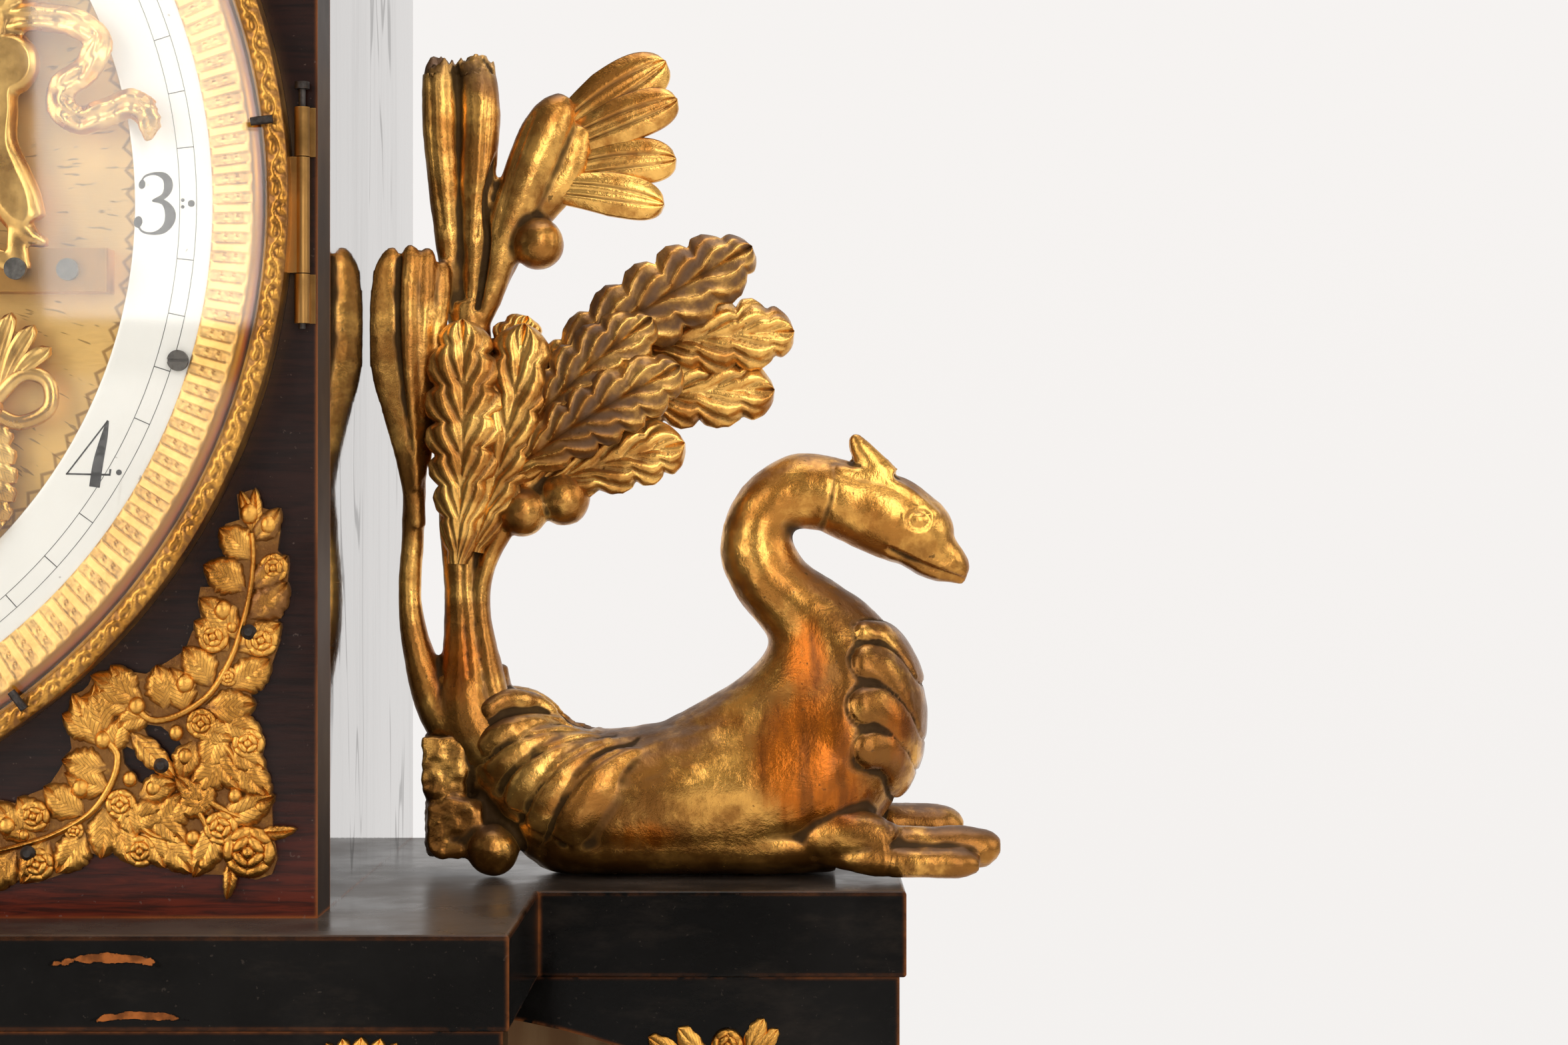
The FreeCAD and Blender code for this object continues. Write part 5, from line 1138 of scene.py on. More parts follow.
class CLOCK_OT_beasts(bpy.types.Operator):
    """Carves the two crouching swan-necked beasts"""
    bl_idname = "clock.beasts"
    bl_label = "Beasts"

    def execute(self, context):
        sizing = sizes("clock_beast")
        mesh, spots, normals = carved("beast", self.forms(), mm(sizing.voxel), 3, mm(sizing.ripple))
        spots = self.smoothed(mesh, spots)
        u, v = side_view(spots)
        seam = near_line(spots, JAW_SEAM)
        lift, parting = self.cuts(spots, normals, seam)
        spots = spots + normals * lift[:, None]
        spots[:, 2] = np.maximum(spots[:, 2], slab_z + SLAB_ROOM)
        beast_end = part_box("beast_body_right")[1].x / MM
        spots[:, 0] = np.clip(spots[:, 0], case_x + CASE_ROOM, beast_end - END_ROOM)
        # Hollows, the partings between feathers and scales, and the jaw's seam are marked for grime and
        # painted shade.
        hollow = hollows(mesh, spots, normals, 14) + 0.10 * parting
        hollow = hollow + 0.10 * hump(seam, 1.1) * (v > SEAM_FOOT)
        worn = np.zeros(len(spots))
        for row in RUBBED:
            worn = np.maximum(worn, soft_spot(u, v, *row))
        keep_value(mesh, "hollow", hollow)
        keep_value(mesh, "worn", worn)
        keep_value(mesh, "lit_gold", soft_spot(u, v, *LIT_GOLD))
        put_back(mesh, spots)
        finish_pair("beast_{}_carved", mesh, gilt_carving(), "case", ["beast_body_{}"])
        return {"FINISHED"}

    def forms(self):
        """Trunk, limbs, tail feathers and head as overlapping solids."""
        bm = bmesh.new()
        for rows in (BODY, NECK, SADDLE, SEAT):
            sweep(bm, stations_of(rows, 4), TRUNK_SIDES)
        for rows in (*LIMBS, CREST):
            sweep(bm, stations_of(rows, 4), LIMB_SIDES)
        for points, half in FEATHERS:
            run = curve_through(points, 5)
            for side in (-1, 1):
                rows = []
                for index, (u, v) in enumerate(run):
                    share = index / (len(run) - 1)
                    swell = math.sin(math.pi * min(1.0, 0.16 + share * 0.9)) ** 0.6
                    place = carve_at(u, v, side * (flank(u, v) - 0.25))
                    rows.append((*place, max(half * swell, 0.3), 1.5 * swell + 0.2))
                sweep(bm, rows, FEATHER_SIDES)
        for side in (-1, 1):
            sweep(bm, stations_of([(*row, side * EAR_OUT) for row in EAR], 3), 12)
            sweep(bm, stations_of([(*row, side * BROW_OUT) for row in BROW], 4), 10)
            orb(bm, carve_at(*EYE, side * EYE_OUT), 2.3, (1.0, 0.5, 0.75))
        orb(bm, carve_at(*TAIL_BALL, BALL_OUT), 4.3)
        orb(bm, carve_at(*RUMP), 6.5, (1.2, 1.0, 0.9))
        for middle, size in BLOCKS:
            broken_block(bm, middle, size)
        return bm

    def smoothed(self, mesh, spots):
        """Eases the breast and the belly, where the solids meet."""
        u, v = side_view(spots)
        middle, height, wide, tall = BREAST
        breast = np.exp(-(((u - middle) / wide) ** 2 + ((v - height) / tall) ** 2) ** 2)
        height, tall, first, last, fade = BELLY
        ends = (1 + np.exp((first - u) / fade)) * (1 + np.exp((u - last) / fade))
        belly = np.exp(-(((v - height) / tall) ** 2) ** 2) / ends
        soft = eased(mesh, spots, EASE_SHARE, EASE_ROUNDS)
        return spots + (soft - spots) * np.maximum(breast, belly)[:, None]

    def cuts(self, spots, normals, seam):
        """Height to raise or sink every vertex, and how far it lies in a parting."""
        u, v = side_view(spots)
        outward = np.abs(normals[:, 1])
        mouth, wrist = near_line(spots, MOUTH), near_line(spots, WRIST)
        eye = np.hypot((u - EYE[0]) / 1.2, v - EYE[1])
        lift = -MOUTH_DEPTH * hump(mouth, 0.42) + 0.3 * hump(mouth - 0.95, 0.4) * (u > 83)
        lift = lift - SEAM_DEPTH * hump(seam, 0.4) * (v > SEAM_FOOT) - WRIST_DEPTH * hump(wrist, 0.4)
        rings = 0.25 * hump(eye - 2.0, 0.4) - 0.4 * hump(eye - 1.4, 0.35) + 0.2 * hump(eye, 0.9)
        lift = lift + rings * (v > 50)
        near, after = nearest_two(spots, FEATHERS)
        parting = hump(after - near, 0.17) * np.clip(1.7 - near, 0, 1)
        rim = hump(near - 1.15, 0.3) * (after > 1.3)
        parting = np.maximum(parting, 0.35 * rim) * np.clip(outward * 2 - 0.1, 0, 1)
        lift = lift - PARTING_DEPTH * parting
        broken = (u < 17.5) & (v < 23) & (np.hypot(u - TAIL_BALL[0], v - TAIL_BALL[1]) > 4.8)
        chip = fractal(spots, *CHIPS) * CHIP_DEPTH
        lift = lift * np.maximum(outward, 0.2) + np.where(broken, chip, 0.0)
        near, after = nearest_two(spots, SCALES)
        crease = hump(after - near, 0.12) * (near < 1.1)
        crease = np.maximum(crease, 0.6 * hump(near - 1.09, 0.11))
        lift = lift + SCALE_HEIGHT * np.sqrt(np.clip(1.02 - near ** 2, 0, 1)) - CREASE_DEPTH * crease
        return lift, np.maximum(parting, 0.75 * crease)


# Base and tip as (u, v), half width, depth, lobes along each edge, bend to the side and forward bow
PETALS = [
    (25.6, 115, 47.6, 131.3, 4.5, 0, 0, 0.8, 1.5), (27, 115.6, 49.5, 125, 3.7, -1.2, 0, 0.3, 1.2),
    (26.6, 112, 49.3, 115.4, 3.8, -1, 0, 0.8, 1.2), (25.4, 110.6, 47.4, 107.9, 3.5, -2.2, 0, 0.6, 1.4),
]
LEAVES = [
    (14.6, 50, 15.6, 89, 6.4, -8.4, 7, -0.6, 2.4), (17, 52, 25.4, 88.4, 6.4, -7, 6, -1.2, 2.2),
    (36, 83.4, 68.4, 87.6, 6.3, 0.4, 6, 0.8, 1.8), (36, 75.4, 65.2, 78.2, 6.1, 2, 5, 0.8, 1.8),
    (25.6, 61.6, 50.8, 69.4, 5.7, -4, 5, 0.8, 1.6), (20, 78, 25.6, 89.8, 4.2, -3.6, 4, 0.3, 1),
]
DUSTY_LEAVES = [
    (23, 75, 61.6, 101, 7.2, -3.4, 8, 1.2, 2), (22, 66.6, 45.6, 89.4, 6, -6.2, 7, 1.2, 2),
    (21, 63, 50.2, 81.6, 6, -7.6, 7, 0.9, 2),
]
# Stems, folds and tubes: runs of (u, v, half width, half depth, depth)
STEMS = [
    [(19, 20, 3, 4, -2), (12.6, 25, 4.2, 4.6, -2), (8.2, 34, 2.7, 2.8, -2), (6.4, 43.8, 1.9, 2, -2),
     (6.9, 54.4, 1.8, 1.9, -2.6), (7.4, 63.6, 1.9, 2, -4), (7.4, 72, 2, 2, -5)],
    [(22, 17.5, 6, 7, -2), (16.6, 25, 6, 6.2, -2), (15.9, 34.5, 4.5, 4.4, -2),
     (15.2, 42.4, 3.3, 3.6, -2), (14.8, 49.5, 3.1, 3.4, -2), (14.6, 58, 3.6, 3.6, -2),
     (16, 72, 4.2, 3.6, -2), (16, 92, 3.2, 3.2, -2)],
    [(21, 25, 2.4, 3.4, -3.4), (19.8, 31, 2.2, 3, -3.4), (18.6, 38, 1.7, 2.4, -3.4),
     (18, 43.4, 1.5, 2, -3.4), (18.6, 48.8, 1.5, 2, -3.4), (20.8, 54.4, 1.8, 2.2, -3.4),
     (24, 60, 2.2, 2.4, -3.4), (27.5, 68, 2.6, 2.4, -3.4)],
    [(14.4, 86, 1.4, 1.6, -2), (13, 100, 2.2, 2.4, -2.2), (12, 111, 2.7, 2.8, -2.4),
     (11.4, 121, 3, 3, -2.2), (11.2, 128.4, 2.8, 2.8, -2), (11.6, 131.2, 2.4, 2.4, -2)],
    [(16.4, 86, 1.4, 1.6, -2.4), (16.9, 100, 2.1, 2.4, -2.8), (17.4, 111, 2.8, 2.8, -3),
     (17.8, 121, 3.2, 3, -2.6), (17.4, 127.8, 3, 2.8, -2.2), (16, 131.6, 2.4, 2.4, -2)],
    [(15.4, 88, 1.6, 2, 0), (14.8, 108, 3, 2.6, -0.4), (14.6, 129, 3.2, 2.6, -0.4)],
    [(17.4, 88, 1.6, 1.8, -2.6), (19.7, 94.4, 2.3, 2.2, -2.8), (21.6, 102.7, 3.2, 2.8, -3),
     (24.9, 111, 3.9, 3.2, -3.2), (28.2, 119.2, 4, 3.2, -3), (30.4, 123.2, 3, 2.6, -2.6),
     (31.4, 125.2, 1.3, 1.3, -2.4)],
    [(18.4, 90, 1.4, 1.8, -0.8), (22.6, 101.5, 2.6, 2.6, -1), (27.2, 107.9, 3.4, 3, -1.2),
     (30.6, 112.4, 3.5, 3, -1.2), (32.8, 117.4, 3, 2.6, -1.2), (34.2, 120.6, 1.6, 1.4, -1)],
    [(7.6, 56, 1.5, 1.6, -3.4), (6.9, 65.2, 2.1, 1.6, -5), (5.7, 73.5, 3, 1.3, -6.4),
     (4.3, 81.9, 3.7, 1.1, -7), (3.9, 89.4, 3.5, 1, -7), (3.6, 96, 2.7, 0.9, -6.6),
     (3.9, 99.2, 1.6, 0.9, -6.2), (4.2, 100.6, 0.5, 0.5, -6)],
    [(7.8, 62, 1, 1.2, -5.4), (6.9, 80, 1.6, 1.6, -7.2), (6.8, 92, 1.8, 1.6, -7.2),
     (7, 98.6, 1.6, 1.4, -6.8), (7.2, 100.8, 0.8, 0.8, -6.4)],
    [(8.4, 64, 1, 1.2, -4.8), (8.8, 82, 1.6, 1.6, -6.4), (9.2, 93, 1.8, 1.6, -6.4),
     (9.5, 98.4, 1.6, 1.4, -6), (9.7, 100.4, 0.8, 0.8, -5.6)],
    [(9, 66, 1, 1.2, -4), (10.6, 83, 1.6, 1.6, -5.4), (11.4, 92, 1.8, 1.5, -5.2),
     (11.9, 96.6, 1.5, 1.3, -4.8), (12.1, 98.4, 0.7, 0.7, -4.4)],
    [(7.6, 64, 1.2, 1.2, -4.2), (7.6, 82, 3.9, 1.3, -5), (7.8, 97, 3.9, 1.3, -4.8)],
    [(20, 98, 1.6, 1.8, -2.8), (24.6, 101, 2.2, 2.2, -3.2), (27, 101.6, 2.4, 2.4, -3.4)],
    [(19, 61, 2.4, 2.2, -2.6), (25, 61, 2.2, 2.2, -2.6), (31, 63, 2, 2, -2.4)],
]
# Lines cut into the stems: points and depth
CUTS = [
    ([(5.4, 99), (5.2, 90), (5.8, 80), (7.2, 68)], 0.45),
    ([(20.9, 116), (18.8, 108.5), (19.1, 101), (17.6, 91)], 0.9),
    ([(26.4, 122), (23, 112), (20.8, 103)], 0.3), ([(10, 128), (10.4, 116), (12, 104)], 0.3),
    ([(19.4, 126), (18.6, 114), (17.4, 102)], 0.3), ([(15.4, 62), (15.2, 46), (16.4, 32)], 0.35),
]
# Half width of those lines, height of the torn top and how far out it reaches
CUT_HALF, TORN_TOP, TORN_OUT = 0.34, 128.8, 21
# Room kept to the case, and the top's height over the slab
STEM_ROOM, STEM_TOP = 0.3, 131.9
# Gold rubbed from the stems: u, v, half width, half height, amount
STEM_WEAR = (14, 34, 6, 9, 0.36)
# Berries: u, v, radius, depth
BERRIES = [(27.2, 101.4, 4.2, -3.8), (24.8, 58.4, 4.1, -4.2), (31.2, 60.5, 4.4, -2.8)]


def draw_leaf(bm, place, row, thickness, grid=(36, 2.6), relief=1.0, point=0.0, marks=None, dusty=0.0,
              veins=None):
    """One worked leaf: lobes between slanting veins, or a smooth grooved petal when it has no lobes."""
    u0, v0, u1, v1, half, depth, lobes, bend, bow = row
    base, tip = np.array([u0, v0]), np.array([u1, v1])
    way = tip - base
    reach = np.hypot(*way)
    across = np.array([-way[1], way[0]]) / reach
    slant = (1.9 - 0.9 * point) * half / reach
    full = 0.62 - 0.2 * point
    rise = -1.0 if dusty else 1.0
    rows = max(8, int(reach * grid[1]))
    made = bmesh.ops.create_grid(bm, x_segments=grid[0], y_segments=rows, size=1.0)["verts"]
    faces = list({face for vert in made for face in vert.link_faces})
    for vert in made:
        x, t = vert.co.x, (vert.co.y + 1) / 2
        side = abs(x)
        end = max(t - full, 0) / (1 - full)
        if lobes:
            sway = 0.16 * math.sin(6.5 * t + (2.0 if x > 0 else 0.0) + u0)
            notch = 1 - abs(math.sin(math.pi * (lobes * (t - slant) + sway)))
            vein = 1 - abs(math.sin(math.pi * (lobes * (t - slant * side) + sway)))
            fade = min(1.0, side / 0.16) * (1 - t ** 10)
            shape = 0.30 + 0.70 * math.sin(0.5 * math.pi * min(1.0, t / full)) ** 1.1
            shape *= max(0.0, 1 - end ** (2.8 - point)) ** (0.5 + 0.15 * point)
            teeth = abs(math.sin(math.pi * 3 * lobes * (t - slant)))
            shape *= 1 - (0.24 - 0.10 * point) * notch ** 1.5 - 0.03 * teeth
            height = 0.12 * half * math.sin(math.pi * side) - 0.20 * math.exp(-(x / 0.06) ** 2)
            if not veins:
                height -= rise * 0.85 * vein ** 1.4 * fade * (1 - 0.3 * side)
            height *= min(1.0, 0.3 + t * 2.0)
            # Veins and midrib are marked low, which the gilding darkens as grime and painted shade.
            low = (0.12 * vein ** 2 if rise > 0 else 0.02) * fade
            low += 0.05 * math.exp(-(x / 0.05) ** 2) * (1 - t ** 10)
        else:
            vein = 0.0
            shape = (0.45 + 0.55 * min(1.0, t / 0.6)) * max(0.0, 1 - end ** 3.4) ** 0.5
            line = math.exp(-((side - 0.42 * (1 - 0.5 * t)) / 0.07) ** 2)
            height = 0.3 * math.sin(math.pi * side) - 0.30 * line + 0.3 * side ** 3
            # A petal's grooves are marked low for the same grime and painted shade.
            low = 0.13 * line * (1 - t ** 4)
        spot = base + way * t + across * (x * half * shape + bend * math.sin(math.pi * t))
        forward = bow * math.sin(math.pi * t * 0.9) - 0.25 * x * x * half + height * relief
        vert.co = place(spot[0], spot[1], depth - forward)
        if veins:
            vert[veins[0]] = 2 * lobes * (t - slant * side) + 0.5
            vert[veins[1]] = min(1.0, lobes) * (1 - t ** 6)
        if marks:
            vert[marks[0]] = low
            vert[marks[1]] = dusty * max(0.0, 1 - 1.3 * vein ** 1.5) * min(1.0, max(0.0, (t - 0.15) / 0.3))
    back = bmesh.ops.extrude_face_region(bm, geom=faces, use_keep_orig=True)["geom"]
    bmesh.ops.translate(bm, vec=(0, thickness, 0), verts=verts_of(back))


def leaf(whole, place, row, thickness, grid, relief, point=0.0):
    """Small stamped leaf whose veins are left to its material."""
    with patch(whole) as bm:
        veins = [bm.verts.layers.float.new(name) for name in ("vein", "leafy")]
        draw_leaf(bm, place, row, thickness, grid, relief, point, veins=veins)


class CLOCK_OT_foliage(bpy.types.Operator):
    """Carves the leaves, buds and berries growing from the beasts' tails"""
    bl_idname = "clock.foliage"
    bl_label = "Foliage"

    def execute(self, context):
        sizing = sizes("clock_beast")
        bm = bmesh.new()
        for rows in STEMS:
            sweep(bm, stations_of(rows, 5), 18)
        for u, v, radius, depth in BERRIES:
            orb(bm, carve_at(u, v, depth), radius, detail=20)
        mesh, spots, normals = carved("foliage", bm, mm(sizing.voxel) * 0.92, 1, mm(sizing.ripple) * 0.8)
        facing = np.clip(-normals[:, 1] * 2, 0, 1)
        crack = np.zeros(len(spots))
        for points, deep in CUTS:
            crack = np.maximum(crack, deep * hump(near_line(spots, points), CUT_HALF) * facing)
        spots = spots - normals * crack[:, None]
        u, v = side_view(spots)
        torn = (v > TORN_TOP) & (u < TORN_OUT)
        chip = fractal(spots * (0.6, 0.6, 0.0), *TEARS)
        spots[:, 2] += np.where(torn, chip * 1.8 - 0.8 + 0.12 * (u - 12), 0.0)
        spots[:, 0] = np.maximum(spots[:, 0], case_x + STEM_ROOM)
        spots[:, 2] = np.minimum(spots[:, 2], slab_z + STEM_TOP)
        # Hollows and cut lines are marked for grime and painted shade, and the torn top is darkened as
        # well.
        keep_value(mesh, "hollow", hollows(mesh, spots, normals, 9) + 0.2 * crack
                   + 0.22 * np.clip((v - 125.5) / 4, 0, 1) * (u < TORN_OUT))
        keep_value(mesh, "dusty", np.clip((v - 124) / 6, 0, 0.9) * (u < TORN_OUT))
        # The stems take a little of the painted highlight.
        keep_value(mesh, "lit_gold", np.full(len(spots), 0.35))
        keep_value(mesh, "worn", 0.10 + soft_spot(u, v, *STEM_WEAR))
        put_back(mesh, spots)
        gold = bpy.data.materials["carved_gilding"]
        finish_pair("foliage_{}_carved", mesh, gold, "case", ["beast_foliage_{}"])
        self.leaves(gold, mm(sizing.leaf_thickness))
        return {"FINISHED"}

    def leaves(self, gold, thickness):
        """Petals and serrated leaves laid over the stems."""
        bm = bmesh.new()
        marks = (bm.verts.layers.float.new("hollow"), bm.verts.layers.float.new("dusty"))
        for rows, dusty in ((PETALS, 0.0), (LEAVES, 0.0), (DUSTY_LEAVES, 0.9)):
            for row in rows:
                draw_leaf(bm, carve_at, row, thickness, marks=marks, dusty=dusty)
        piece = finish_piece("leaves_right_carved", bm, gold, "case", (), LEAF_SHARP)
        dusty = np.empty(len(piece.data.vertices))
        piece.data.attributes["dusty"].data.foreach_get("value", dusty)
        # The leaves take most of the painted highlight, less where dusty.
        keep_value(piece.data, "lit_gold", 0.85 * (1 - dusty))
        other = mirrored(piece.data, "leaves_left_carved")
        finish_mesh("leaves_left_carved", other, gold, "case", (), LEAF_SHARP)


# Stamped corner mounts: a runs in from the case's right edge, b up from the slab.
# The other arm swaps the two.
def corner_at(a, b, depth):
    return Vector((case_x - a, face_y + depth, slab_z + b))


def other_arm(a, b, depth):
    return corner_at(b, a, depth)


MOUNT_EDGE = [
    (9.2, 61.3), (8.2, 58.8), (5.9, 58.2), (5.2, 55.4), (5.6, 52.6), (3.9, 50.8), (4.4, 46.2),
    (5.6, 43.2), (5.2, 39.8), (6.2, 37), (7.4, 33.6), (9.4, 32.2), (8.9, 30.2), (9.8, 28.4),
    (7.4, 25.6), (7.8, 23.2), (7, 20.8), (6.4, 17), (6.3, 13.4), (6.2, 11.6), (5.6, 8.6), (6.4, 6.4),
]
MOUNT_INNER = [
    (11.4, 60.6), (11, 57), (13, 56.4), (14.1, 54.4), (13, 51.6), (15.8, 49.8), (14.8, 47.4),
    (16.6, 47.4), (17, 45.2), (16.4, 42.4), (17.8, 41), (18.8, 38.4), (21.2, 36.8), (24.4, 35),
    (28.8, 35.6), (32, 34.8), (32.6, 33.4),
]
MOUNT_GAPS = [
    [(25, 27.9), (22.2, 27.5), (19.6, 25.4), (17.6, 21.6), (19.4, 20.8), (21.4, 23.2), (23.8, 25.4)],
]
MOUNT_STEMS = [
    [(25.9, 30.3), (23.5, 28.4), (20.2, 28.9), (16.8, 30.8), (14.4, 33.2), (12.1, 37.4), (10.9, 40.8),
     (9.9, 44.6), (9.2, 48.4), (9, 52.2), (9.2, 55.1)],
    [(16.4, 26), (13, 24.6), (11.6, 22.2), (12, 20)], [(16.6, 17.6), (13.2, 15.6), (10.4, 14.4)],
]
# Base and tip, half width
MOUNT_LEAVES = [
    (9.4, 51.4, 13.6, 55.6, 2.3), (10.2, 47, 15.8, 50.4, 2.5), (9.7, 43, 4.4, 47.8, 2.4),
    (12.5, 33.2, 6.9, 36.9, 2.4), (14.9, 33.2, 18.8, 38.6, 2.4), (15.9, 30.3, 9, 30.7, 2.4),
    (21.6, 30, 22.7, 36, 2.5), (23.6, 29.2, 28.6, 27.4, 1.7), (12, 22.1, 17.8, 18.7, 2.3),
    (11.6, 22.9, 6.9, 17.8, 2.3), (14, 14.1, 6.4, 17.4, 2.2), (17.4, 25.4, 19.2, 20.1, 1.9),
    (14.4, 17.6, 19.8, 15.2, 2.2), (13.4, 27.4, 15.4, 21.2, 2.2), (24.6, 30.6, 31.8, 34.6, 2),
    (26, 30, 33.4, 31.4, 2), (26.4, 31, 29.2, 36, 1.9), (8.6, 12.4, 3.1, 12.8, 0.9),
    (9, 55, 10.8, 60.8, 1), (9.2, 55, 8.8, 61.2, 0.9), (9.2, 54, 5.4, 58.4, 1.6),
    (9.6, 47.2, 4.4, 51.6, 1.9), (12.6, 38.4, 17.2, 42.4, 2.2), (11, 40, 16.4, 45.6, 2.2),
    (11.6, 38.4, 5.4, 42, 2.2), (18.6, 29.4, 20.8, 35.6, 2.1), (14, 29, 8.2, 26.6, 2),
    (12.6, 25, 7.6, 21.6, 2), (11.4, 11.4, 6.2, 10, 2), (15.6, 24.6, 10.4, 18.6, 2),
    (17, 28, 11.6, 26, 1.8),
]
MOUNT_ROSES = [
    (6.1, 50.1, 2.2), (7.8, 39.8, 2.5), (14.7, 40.3, 2.4), (16.4, 27.9, 2.3), (9.7, 25.1, 2.4),
    (12.6, 34.6, 1.5),
]
MOUNT_BUDS = [
    (9.5, 57.9, 1.6), (6.8, 56.3, 1.4), (13.3, 44.1, 1.5), (18.7, 33.6, 1.5), (12, 41.7, 0.9),
    (25.6, 30.4, 1.4), (18.7, 23.2, 1.3), (7.9, 16, 1), (11.6, 17.6, 1.2), (20, 26.6, 1.2),
]


# Thickness of a leaf, its grid (columns, rows to the millimetre), relief and pointedness
STAMPED = (0.6, (6, 3.6), 1.0, 1.0)
SPRAY = (0.6, (8, 2.2), 0.6)
GARLAND = (0.8, (6, 2.0), 0.5)
RIBBON = (0.8, (8, 1.6), 0.5)
# Thickness of a mount's ground
MOUNT_GROUND = 0.8
# Spray on a wing: base and tip as (x, z), half width; buds as x, z, radius
SPRAY_LEAVES = [
    (150.8, 187, 145.4, 192.2, 1.7), (149.6, 186, 140.8, 190.8, 1.6), (150, 184.6, 142.4, 184, 1.6),
    (155.6, 186.6, 158.6, 193.6, 1.5), (156.2, 185.8, 160.8, 192, 1.3), (156, 184.6, 160.6, 184, 1.6),
    (152, 186, 149, 178, 1.6), (154, 186, 157, 178, 1.6), (153, 184, 153, 172, 2),
]
SPRAY_BUDS = [(153, 184.4, 1.8), (147.4, 187.6, 0.9), (157.8, 188.4, 0.9), (153, 171.4, 0.9)]
# Head of a pilaster: its middle, and palm leaves as offset, height, half width
PILASTER_X = 103.6
PALM = [(-4.8, 198.4, 1.4), (-2.6, 199, 1.6), (0, 199.2, 1.7), (2.6, 199, 1.6), (4.8, 198.4, 1.4)]


def rose(bm, place, a, b, radius, lift):
    """Full bloom: a low cushion with whorls of petals around a heart."""
    orb(bm, place(a, b, -lift), radius, (1.0, 0.40, 1.0), detail=12)
    heart = place(a, b, -lift)
    for count, ring, size, rise in ((6, 0.70, 0.46, 0.16), (4, 0.38, 0.36, 0.36)):
        for turn in range(count):
            angle = 2 * math.pi * turn / count + 0.7 * a + ring
            out = ring * radius
            spot = place(a + out * math.cos(angle), b + out * math.sin(angle), -lift - rise * radius)
            tilt = Matrix.Rotation(-math.atan2(spot.z - heart.z, spot.x - heart.x), 3, "Y")
            orb(bm, spot, radius * size, (0.62, 0.5, 1.1), tilt, detail=8)
    orb(bm, place(a, b, -lift - 0.44 * radius), radius * 0.24, (1.0, 0.7, 1.0), detail=8)


def stem(bm, place, points, half, lift):
    run = curve_through(points, 4)
    rows = [(*place(a, b, -lift), half * (1 - 0.35 * i / len(run)), half) for i, (a, b) in enumerate(run)]
    sweep(bm, rows, 8)


def plate(whole, place, loops, thickness):
    """Flat ground of a mount cut to drawn loops, the first its edge and the others openings."""
    with patch(whole) as bm:
        lines = []
        for loop in loops:
            ring = [bm.verts.new(place(a, b, -thickness)) for a, b in loop]
            lines += [bm.edges.new(pair) for pair in zip(ring, ring[1:] + ring[:1])]
        bmesh.ops.triangle_fill(bm, edges=lines, use_beauty=True, use_dissolve=False)
        back = bmesh.ops.extrude_face_region(bm, geom=bm.faces[:], use_keep_orig=True)["geom"]
        bmesh.ops.translate(bm, vec=(0, thickness - 0.02, 0), verts=verts_of(back))


def add_mirror(bm):
    """Adds the same forms on the clock's other side."""
    bmesh.ops.recalc_face_normals(bm, faces=bm.faces)
    copy = bmesh.ops.duplicate(bm, geom=bm.verts[:] + bm.edges[:] + bm.faces[:])["geom"]
    bmesh.ops.scale(bm, vec=(-1, 1, 1), verts=verts_of(copy))


def relief_marks(mesh, ground, top, share):
    """Marks the low ground of a mount and the veins of its leaves as hollow, for painted shade."""
    spots, normals = vectors(mesh, "co") / MM, vectors(mesh, "normal")
    low = share * np.clip(1 - (ground - spots[:, 1]) / top, 0, 1)
    keep_value(mesh, "hollow", low + 0.5 * np.maximum(hollows(mesh, spots, normals, 3), 0))


